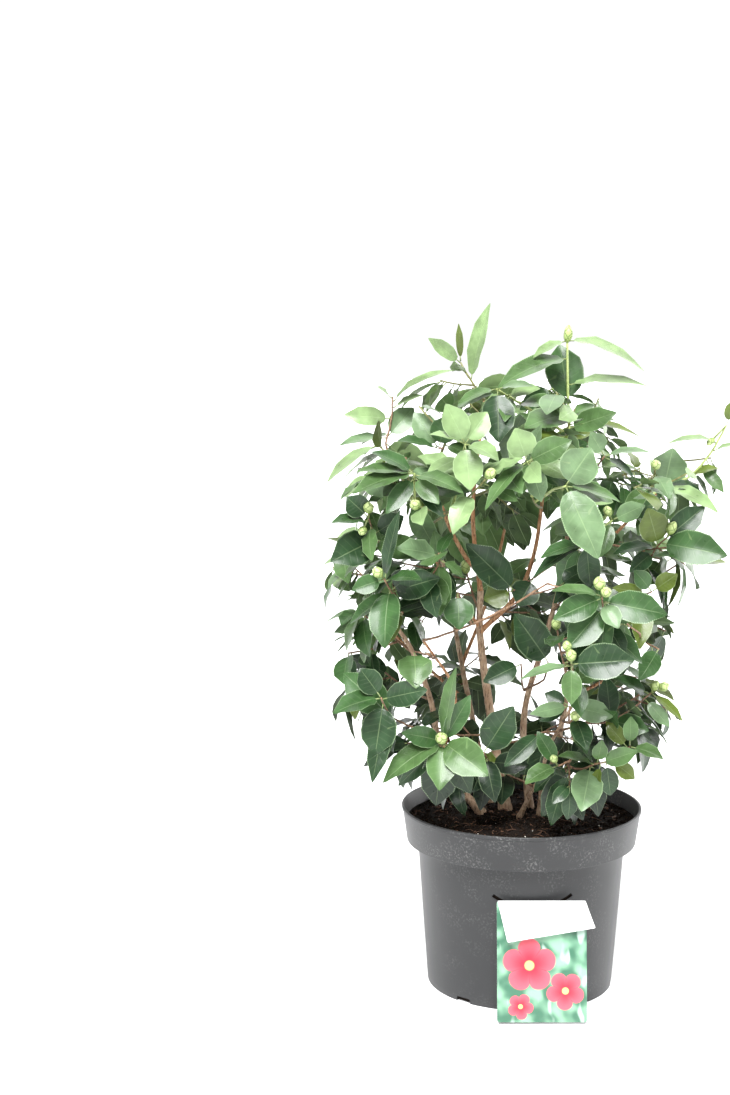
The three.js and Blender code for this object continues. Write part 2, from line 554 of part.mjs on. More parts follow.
// A mass of foliage: one stem, side twigs, and leaves by turns round them
class Mass {
  constructor(shoot, index, host) {
    Object.assign(this, shoot);
    this.host = host;
    this.random = new Seeded(MASS_SEED.first + index * MASS_SEED.step);
    this.stem = twigLimb(host.curve, TWIG.footRadius, TWIG.steps);
    this.outward = new THREE.Vector3(shoot.tip.x, shoot.tip.y, 0).normalize();
    this.heart = host.start.clone().lerp(shoot.tip, HEART.along);
    this.heart.addScaledVector(this.outward, HEART.outward);
    this.heart.z -= HEART.drop * Math.max(0, shoot.droop);
    this.twigs = [this.stem];
    this.leaves = [];
    this.budList = [];
  }

  growSideTwig(foreign) {
    for (let attempt = 0; attempt < SIDE_TWIG.tries; attempt += 1) {
      const { point, axis, side, other } = this.stem.frameAt(this.random.between(SIDE_TWIG.from));
      const turn = radians(this.random.between([0, 360]));
      const spread = radians(this.random.between(SIDE_TWIG.spread));
      const direction = axis.clone().multiplyScalar(Math.cos(spread))
        .addScaledVector(side, Math.sin(spread) * Math.cos(turn))
        .addScaledVector(other, Math.sin(spread) * Math.sin(turn))
        .addScaledVector(this.outward, SIDE_TWIG.outward).normalize();
      const end = point.clone().addScaledVector(direction, this.random.between(SIDE_TWIG.length));
      const curve = saggingCurve(point, end, SIDE_TWIG.sag);
      if (!this.cell.holds(end, SIDE_TWIG.endMargin)) continue;
      if (!this.cell.holds(curve.getPoint(0.5), SIDE_TWIG.middleMargin)) continue;
      if (clearance(curve, foreign, TWIG.footRadius) < HOST.room) continue;
      this.twigs.push(twigLimb(curve, TWIG.footRadius * SIDE_TWIG.footShare, SIDE_TWIG.steps));
      return;
    }
  }

  tryLeaf(twig, along, azimuth, spread, foreign) {
    const { random, outward } = this;
    const { point, axis, side, other } = twig.frameAt(along);
    const own = this.ownBalls.filter((ball) => ball.centre.distanceTo(point) > SETTING.rootZone);
    for (let attempt = 0; attempt < SETTING.tries; attempt += 1) {
      const turn = radians(azimuth + random.around((1 + attempt) * SETTING.turnPlay));
      const open = radians(spread + random.around(SETTING.spreadPlay + attempt * SETTING.spreadMore));
      const direction = axis.clone().multiplyScalar(Math.cos(open))
        .addScaledVector(side, Math.sin(open) * Math.cos(turn))
        .addScaledVector(other, Math.sin(open) * Math.sin(turn));
      direction.z -= this.droop * random.between(SETTING.droop);
      direction.addScaledVector(outward, SETTING.outward).normalize();
      const face = UP.clone().addScaledVector(outward, SETTING.faceOutward)
        .addScaledVector(side, random.around(SETTING.faceTilt))
        .addScaledVector(other, random.around(SETTING.faceTilt));
      const length = LEAF.length * random.between(LEAF.lengthSpread) * SETTING.shrink ** attempt;
      const width = length * LEAF.width * random.between(LEAF.widthSpread);
      const leaf = new Leaf(point, direction, face, length, width,
        random.between(LEAF.curl), random.between(LEAF.fold));
      const outline = [...leaf.ring, leaf.top, leaf.keel];
      if (!outline.every((corner) => this.cell.holds(corner))) continue;
      if (!this.leaves.every((near) => leaf.misses(near))) continue;
      if (!leaf.clears(foreign) || !leaf.clears(own)) continue;
      this.leaves.push(leaf);
      return;
    }
  }

  growLeaves(foreign) {
    this.ownBalls = this.twigs.flatMap((twig) => twig.balls());
    this.twigs.forEach((twig, rank) => {
      let azimuth = this.random.between([0, 360]);
      SETTING.terminalSpread.forEach((spread, i) => {
        this.tryLeaf(twig, SETTING.terminalFrom - i * SETTING.terminalStep, azimuth, spread, foreign);
        azimuth += SETTING.turn;
      });
      const reach = twig.length * (rank === 0 ? SETTING.stemShare : SETTING.sideShare);
      for (let gone = SETTING.spacing; gone < reach; gone += SETTING.spacing) {
        this.tryLeaf(twig, 1 - gone / twig.length, azimuth, SETTING.spread, foreign);
        azimuth += SETTING.turn;
      }
    });
  }

  growBuds(foreign) {
    const reach = BUD.radius * BUD.stretch;
    for (const twig of this.twigs.slice(0, this.buds)) {
      const { point, axis } = twig.frameAt(1);
      const geometry = new THREE.SphereGeometry(BUD.radius, BUD.sides, BUD.bands);
      geometry.scale(1, BUD.stretch, 1);
      const turn = new THREE.Quaternion().setFromUnitVectors(new THREE.Vector3(0, 1, 0), axis);
      geometry.applyQuaternion(turn);
      const centre = point.addScaledVector(axis, reach - BUD.sunk);
      const room = reach + BUD.room;
      if (!this.cell.holds(centre, room)) continue;
      if (foreign.some((ball) => ball.centre.distanceTo(centre) < ball.radius + room)) continue;
      geometry.translate(centre.x, centre.y, centre.z);
      this.budList.push(solidOf(geometry));
    }
  }

  solid(cutters) {
    let stem = this.stem.solid();
    for (const cutter of cutters) stem = stem.subtract(cutter);
    const grown = [...this.twigs.slice(1), ...this.leaves].map((piece) => piece.solid());
    const whole = [...grown, ...this.budList].reduce((sum, piece) => sum.add(piece), largestPiece(stem));
    return largestPiece(whole);
  }
}

function growMasses(limbs) {
  const limbBalls = [...limbs].flatMap(([name, limb]) => limb.balls(3, name));
  const forks = [...limbs.values()].map((limb) => limb.curve.getPointAt(0));
  const stemBalls = [];
  const masses = [];
  for (const [index, shoot] of shootPlan().entries()) {
    const taken = [...forks, ...masses.map((mass) => mass.host.start)];
    const host = findHost(shoot, limbs, [...limbBalls, ...stemBalls], taken);
    if (!host) continue;
    const mass = new Mass(shoot, index, host);
    masses.push(mass);
    stemBalls.push(...mass.stem.balls(3, mass));
  }
  for (const mass of masses) {
    mass.cell = new Cell(mass.heart, masses.filter((near) => near !== mass).map((near) => near.heart));
    const foreign = [...limbBalls, ...stemBalls.filter((ball) => ball.owner !== mass)];
    mass.growSideTwig(foreign);
    mass.growLeaves(foreign);
    mass.growBuds(foreign);
  }
  return masses;
}

// The whole plant
const group = new THREE.Group();
group.add(meshOf("pot", geometryOf(makePot()), COLOURS.pot, 0.5));
group.add(meshOf("soil", geometryOf(makeSoil()), COLOURS.soil, 0.95));

const card = meshOf("card", geometryOf(makeCard()), COLOURS.card, 0.35);
card.position.set(CARD.offset, -CARD.topDepth, CARD.topHeight);
group.add(card);

const limbs = makeLimbs();
const { solids, cutters } = limbSolids(limbs);
const wood = new THREE.Group();
for (const [name, limb] of limbs) {
  const colour = limb.floor === null ? COLOURS.bough : COLOURS.trunk;
  wood.add(placedMesh(name, solids.get(name), limb.curve.getPointAt(0), colour, 0.8));
}
group.add(wood);

const foliage = new THREE.Group();
for (const [index, mass] of growMasses(limbs).entries()) {
  const colour = COLOURS.leaves[index % COLOURS.leaves.length];
  foliage.add(placedMesh(`foliage_${mass.name}`, mass.solid(cutters), mass.host.start, colour, 0.45));
}
group.add(foliage);

export default group;
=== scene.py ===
"""Dresses a young camellia shrub in a round nursery pot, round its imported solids.

Sizes are in millimetres, and become metres where a mesh is made. A heading is an angle round the
pot: 0 is the front, 90 the right and 180 the back. Right is +X, the back +Y and up +Z.
"""
import json
import logging
import math
from dataclasses import dataclass
from enum import Enum
from typing import Any, Iterable, Sequence

import bmesh
import bpy
import numpy as np
from bmesh.types import BMesh, BMFace, BMVert
from bpy.types import ColorRamp, Material, Mesh, NodeSocket, Object
from mathutils import Matrix, Vector, noise

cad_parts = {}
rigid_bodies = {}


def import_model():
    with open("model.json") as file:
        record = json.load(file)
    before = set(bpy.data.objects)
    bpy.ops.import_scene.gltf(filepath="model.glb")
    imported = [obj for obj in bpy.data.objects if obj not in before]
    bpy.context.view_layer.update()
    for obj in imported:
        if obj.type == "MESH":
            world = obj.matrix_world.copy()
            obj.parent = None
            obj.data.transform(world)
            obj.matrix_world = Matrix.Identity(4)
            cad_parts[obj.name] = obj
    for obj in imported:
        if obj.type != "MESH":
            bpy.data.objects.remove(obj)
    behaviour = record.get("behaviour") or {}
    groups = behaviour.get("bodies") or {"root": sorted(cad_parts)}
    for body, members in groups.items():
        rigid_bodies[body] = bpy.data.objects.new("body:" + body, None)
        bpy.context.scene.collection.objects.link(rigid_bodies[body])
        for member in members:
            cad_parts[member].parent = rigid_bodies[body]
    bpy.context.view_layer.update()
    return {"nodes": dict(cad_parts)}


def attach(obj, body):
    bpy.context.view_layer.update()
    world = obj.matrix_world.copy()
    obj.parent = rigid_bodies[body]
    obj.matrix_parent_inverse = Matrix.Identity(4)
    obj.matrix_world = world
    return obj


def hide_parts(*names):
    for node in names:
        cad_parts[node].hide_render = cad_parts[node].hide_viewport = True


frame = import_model()

log = logging.getLogger("camellia")

MM = 0.001
BODY = "root"
UV_NAME = "lay"
UP = np.array((0.0, 0.0, 1.0))
BACK = np.array((0.0, 1.0, 0.0))
Array = np.ndarray


def vec(x: float, y: float, z: float) -> Array:
    """A point or a direction of three numbers."""
    return np.array((x, y, z), float)


def unit(v: Array) -> Array:
    """The direction of a vector."""
    return v / np.linalg.norm(v)


def lerp(a: Any, b: Any, t: float) -> Any:
    """The value a share t of the way from a to b."""
    return a + (b - a) * t


def linked(name: str, data: Any) -> Object:
    """Puts a new object into the scene.

    Args:
        name: The object's name.
        data: Its mesh, camera or light.

    Returns:
        The object.
    """
    made = bpy.data.objects.new(name, data)
    bpy.context.scene.collection.objects.link(made)
    return made


# Sizes shared with the solids

@dataclass(frozen=True)
class PotSizes:
    """The nursery pot, turned round the upright axis."""

    height: float = 218.0
    base_radius: float = 111.8
    shoulder_height: float = 176.0
    neck_radius: float = 124.8
    shoulder_radius: float = 138.0
    lip_height: float = 4.0
    band_top_radius: float = 143.4
    rim_radius: float = 144.5
    wall: float = 2.0
    notches: int = 6
    notch_width: float = 20.0
    notch_height: float = 6.0
    notch_inset: float = 8.0
    notch_heading: float = -40.7
    slot_width: float = 92.0
    slot_sag: float = 14.0
    slot_gap: float = 4.2
    slot_height: float = 127.0
    slot_offset: float = 4.7
    slot_cut: float = 40.0
    slot_inside: float = 30.0
    wall_rings: tuple[float, ...] = (9.0, 40.0, 80.0, 118.0, 150.0)


@dataclass(frozen=True)
class SoilSizes:
    """The compost in the pot."""

    height: float = 203.0
    flat_radius: float = 96.0
    edge_drop: float = 4.0


@dataclass(frozen=True)
class CardSizes:
    """The picture card that hangs in the pot's slot."""

    width: float = 103.0
    length: float = 138.0
    thickness: float = 0.8
    corner: float = 3.0
    offset: float = 14.0
    top_height: float = 138.5
    top_depth: float = 127.5
    lean: float = 10.6
    flap_width: float = 101.0
    flap_length: float = 39.0
    flap_angle: float = 13.0
    flap_skew: float = 0.27
    flap_taper: float = 0.21
    tongue_width: float = 20.0
    tongue_rise: float = 0.35


@dataclass(frozen=True)
class LimbSpec:
    """A limb: it runs through its points, from thickness foot to thickness tip."""

    name: str
    foot: float
    tip: float
    through: tuple[tuple[float, ...], ...]
    parent: str | None = None
    along: float = 1.0


CLEARANCE = 0.3
POT = PotSizes()
SOIL = SoilSizes()
CARD = CardSizes()
FLARE_EXTRA = 3.2
FLARE_LENGTH = 16.0
FULL_STEM = 13.0
LIMBS: tuple[LimbSpec, ...] = (
    LimbSpec("trunk", 13, 7.5, ((-17, 30), (-37, 22, 327), (-51, 10, 428), (-51, 8, 478))),
    LimbSpec("leader_middle", 6, 3.4, ((-60, 18, 569), (-47, 22, 705)), "trunk"),
    LimbSpec("leader_left", 5.6, 3.4, ((-70, 0, 521), (-99, -16, 585), (-102, -30, 642)),
             "leader_middle", 0.1),
    LimbSpec("leader_right", 6.6, 3.6, ((-8, 0, 474), (11, 0, 520), (25, 0, 622)), "trunk", 0.82),
    LimbSpec("bough_left_high", 4.4, 3, ((-88, -20, 488), (-133, -50, 575)), "trunk", 0.84),
    LimbSpec("stem_left", 9.5, 4.2,
             ((-47, 10), (-93, -8, 267), (-111, -25, 351), (-135, -35, 416), (-174, -50, 474))),
    LimbSpec("bough_front_left", 4.4, 3, ((-84, -58, 368), (-122, -88, 436)), "stem_left", 0.3),
    LimbSpec("stem_right", 9, 3.6,
             ((13, 35), (6, 40, 320), (30, 24, 420), (51, 20, 518), (53, 8, 655))),
    LimbSpec("bough_right", 5, 3.2, ((95, 16, 530), (158, 10, 596)), "stem_right", 0.6),
    LimbSpec("bough_low_right", 5.5, 3.4, ((-2, -4), (18, -42, 258), (44, -62, 276))),
    LimbSpec("bough_front_right", 5.5, 3.2, ((22, 2), (26, -45, 292), (52, -82, 360))),
    LimbSpec("stem_back_left", 8.5, 3.6, ((-34, 62), (-62, 92, 340), (-100, 112, 540))),
    LimbSpec("stem_back_right", 8.5, 3.6, ((36, 66), (66, 92, 350), (96, 118, 600))),
    LimbSpec("bough_back", 4.6, 3.2, ((-34, 128, 450), (-8, 134, 560)), "stem_back_left", 0.5),
    LimbSpec("bough_back_left", 4.4, 3, ((-112, 96, 368), (-160, 78, 420)),
             "stem_back_left", 0.36),
    LimbSpec("bough_back_right", 4.4, 3, ((112, 84, 356), (156, 66, 410)),
             "stem_back_right", 0.32),
)


@dataclass(frozen=True)
class Ring:
    """A ring of foliage masses at a height and a reach from the pot's axis."""

    name: str
    height: float
    reach: float
    count: int
    turn: float
    droop: float


@dataclass(frozen=True)
class Shoot:
    """Where a mass's stem ends, the limb that bears it if that is set, and how its leaves hang."""

    name: str
    tip: tuple[float, float, float]
    droop: float
    host: str | None = None
    buds: int = 0


RINGS: tuple[Ring, ...] = (
    Ring("skirt", 298, 106, 3, 32, 0.5),
    Ring("low", 372, 158, 6, 20, 0.6),
    Ring("waist", 452, 168, 6, 46, 0.6),
    Ring("middle", 536, 172, 6, 18, 0.5),
    Ring("upper", 630, 160, 6, 48, 0.4),
    Ring("crest", 702, 100, 4, 24, 0.3),
    Ring("core", 500, 70, 2, 80, 0.5),
    Ring("core_high", 600, 60, 2, 10, 0.4),
)
SHOOTS: tuple[Shoot, ...] = (
    Shoot("top_shoot", (48, 2, 776), 0.35, "stem_right", 1),
    Shoot("top_left_shoot", (-76, 18, 750), -0.15, "leader_middle"),
    Shoot("far_right_shoot", (190, 4, 690), 0.3, "bough_right"),
    Shoot("front_rosette", (-100, -112, 322), 0.5, "bough_front_left", 1),
    Shoot("front_left_shoot", (-116, -122, 426), 0.6, "bough_front_left"),
    Shoot("front_shoot", (30, -104, 452), 0.5, "bough_front_right", 1),
)


@dataclass(frozen=True)
class PlanRule:
    """How the shoots are scattered, and the crown's outline and front gap that they keep to."""

    seed: int = 71
    heading: float = 9.0
    reach: float = 10.0
    height: float = 13.0
    bud_chance: float = 0.45
    floor: float = 223.0
    rise_from: float = 120.0
    rise: float = 0.6
    farthest: float = 240.0
    top: float = 822.0
    gap_left: float = -84.0
    gap_right: float = 2.0
    gap_front: float = 16.0
    gap_low: float = 296.0
    gap_high: float = 470.0
    gap_heading: float = -14.0
    gap_half_width: float = 30.0


@dataclass(frozen=True)
class HostRule:
    """Where a shoot may start on a limb, how that is weighed, and the room that it keeps."""

    lowest: float = 0.3
    highest: float = 1.0001
    pitch: float = 0.05
    shortest: float = 42.0
    longest: float = 210.0
    apart: float = 11.0
    climb: float = 0.35
    climb_cost: float = 1.2
    tip_from: float = 0.99
    tip_bonus: float = 45.0
    room: float = 1.2
    bearing_zone: float = 9.0
    samples: int = 24


@dataclass(frozen=True)
class TwigRule:
    """The stem of a mass and the twigs on it, the solids' one first and then the finer ones."""

    foot: float = 1.9
    tip: float = 1.25
    sag: float = 0.1
    solid_from: tuple[float, float] = (0.4, 0.5)
    solid_length: tuple[float, float] = (49.5, 72.6)
    fine_from: tuple[float, ...] = (0.86, 0.7, 0.56, 0.42, 0.3)
    fine_play: float = 0.05
    fine_length: tuple[float, float] = (34.0, 60.0)
    spread: tuple[float, float] = (48.0, 70.0)
    outward: float = 0.25
    side_sag: float = 0.06
    side_share: float = 0.8
    tries: int = 16
    end_margin: float = 10.0
    middle_margin: float = 4.0
    apart: float = 15.0
    apart_from: int = 8
    fine_foot: float = 0.8
    fine_tip: float = 1.7
    bearer_fine: float = 0.45
    bud_from: float = 0.86
    marks: int = 101
    past_leaf: float = 0.02
    touch: float = 1.5


@dataclass(frozen=True)
class LeafRule:
    """A leaf's sizes, how leaves are set along a twig, and the room that they keep."""

    length: float = 63.0
    length_spread: tuple[float, float] = (0.7, 1.2)
    width: float = 0.54
    width_spread: tuple[float, float] = (0.9, 1.12)
    curl: tuple[float, float] = (0.12, 0.42)
    fold: tuple[float, float] = (0.08, 0.34)
    wave: float = 0.09
    thickness: float = 0.7
    keel: float = 1.7
    petiole: tuple[float, float] = (4.0, 8.0)
    terminal_from: float = 0.97
    terminal_step: float = 0.05
    terminal_spread: tuple[float, ...] = (38.0, 52.0, 64.0)
    spread: float = 72.0
    spacing: float = 11.5
    turn: float = 137.5
    stem_share: float = 0.8
    side_share: float = 0.8
    tries: int = 14
    shrink: float = 0.968
    turn_play: float = 12.0
    spread_play: float = 8.0
    spread_more: float = 4.0
    droop: tuple[float, float] = (0.2, 1.15)
    droop_more: float = 0.3
    outward: float = 0.2
    face_outward: float = 0.65
    face_tilt: float = 0.5
    room: float = 0.9
    root_zone: float = 9.0
    spot_gap: float = 4.2
    far_off: float = 0.6


@dataclass(frozen=True)
class SprayRule:
    """The sizes of set sprays, and how they find their foot on the wood."""

    petiole: float = 7.0
    foot: float = 1.75
    tip: float = 1.15
    uphill: float = 0.7
    nearest: float = 4.0
    fold: float = 0.27
    wave: float = 0.06
    leaf_reach: float = 4.8
    bud_reach: float = 10.0
    least_share: float = 0.05
    bud_along: float = 2.0
    droop: float = 0.5
    bare: float = 0.12


PLAN = PlanRule()
HOST = HostRule()
TWIG = TwigRule()
LEAF = LeafRule()
SPRAY = SprayRule()
MASS_SEED_FIRST = 71000
MASS_SEED_STEP = 37
SPRAY_SEED = 4400
HEART_ALONG = 0.8
HEART_OUTWARD = 14.0
HEART_DROP = 24.0
CELL_MARGIN = 0.4
CELL_FARTHEST = 260.0
BUD_RADIUS = 6.2
BUD_STRETCH = 1.3
BUD_SUNK = 1.5
BUD_SIZES = (0.86, 1.05)
BUD_ROOM = 1.0


# Sprays at set places

class Tint(Enum):
    """A leaf's tint: the colours of its upper and under side."""

    # The darkest tint, dealt to low and inner leaves, holds painted shade.
    SHADE = ((0.014, 0.031, 0.014), (0.055, 0.085, 0.04))
    DEEP = ((0.02, 0.052, 0.018), (0.07, 0.115, 0.046))
    MID = ((0.04, 0.098, 0.028), (0.09, 0.155, 0.055))
    FRESH = ((0.082, 0.158, 0.051), (0.125, 0.22, 0.076))
    PALE = ((0.225, 0.335, 0.145), (0.26, 0.38, 0.165))
    OLIVE = ((0.1, 0.145, 0.022), (0.14, 0.19, 0.045))
    # A grey-green: leaf green with painted sheen, the pale grey that light lays on a glossy leaf.
    ASH = ((0.135, 0.22, 0.105), (0.17, 0.25, 0.125))


class Facing(Enum):
    """Which way a set leaf's upper side looks."""

    UPWARD = (0.0, -0.45, 1.0)
    EDGE = (0.0, -0.36, 1.0)
    FRONT = (0.0, -1.0, 0.35)
    LEFT = (-0.75, -0.7, 0.3)


TINTS = list(Tint)
SHADE, DEEP, MID, FRESH, PALE, OLIVE, ASH = TINTS
UPWARD, EDGE, FRONT, LEFT = Facing


@dataclass(frozen=True)
class Leaf:
    """A leaf that grows a way back from its spray's end and reaches a set place.

    Its curl is in hundredths of its length.
    """

    back: float
    x: float
    y: float
    z: float
    width: float
    tint: Tint
    facing: Facing
    curl: float


@dataclass(frozen=True)
class Bud:
    """A flower bud's middle, its size and how long it is for its width."""

    x: float
    y: float
    z: float
    size: float
    stretch: float


@dataclass(frozen=True)
class Spray:
    """A twig with leaves and buds at set places.

    Its line starts at the wood nearest to it, or is the name of the mass whose stem it is.
    """

    line: tuple[tuple[float, float, float], ...] | str
    leaves: tuple[Leaf, ...] = ()
    buds: tuple[Bud, ...] = ()
    green: bool = False


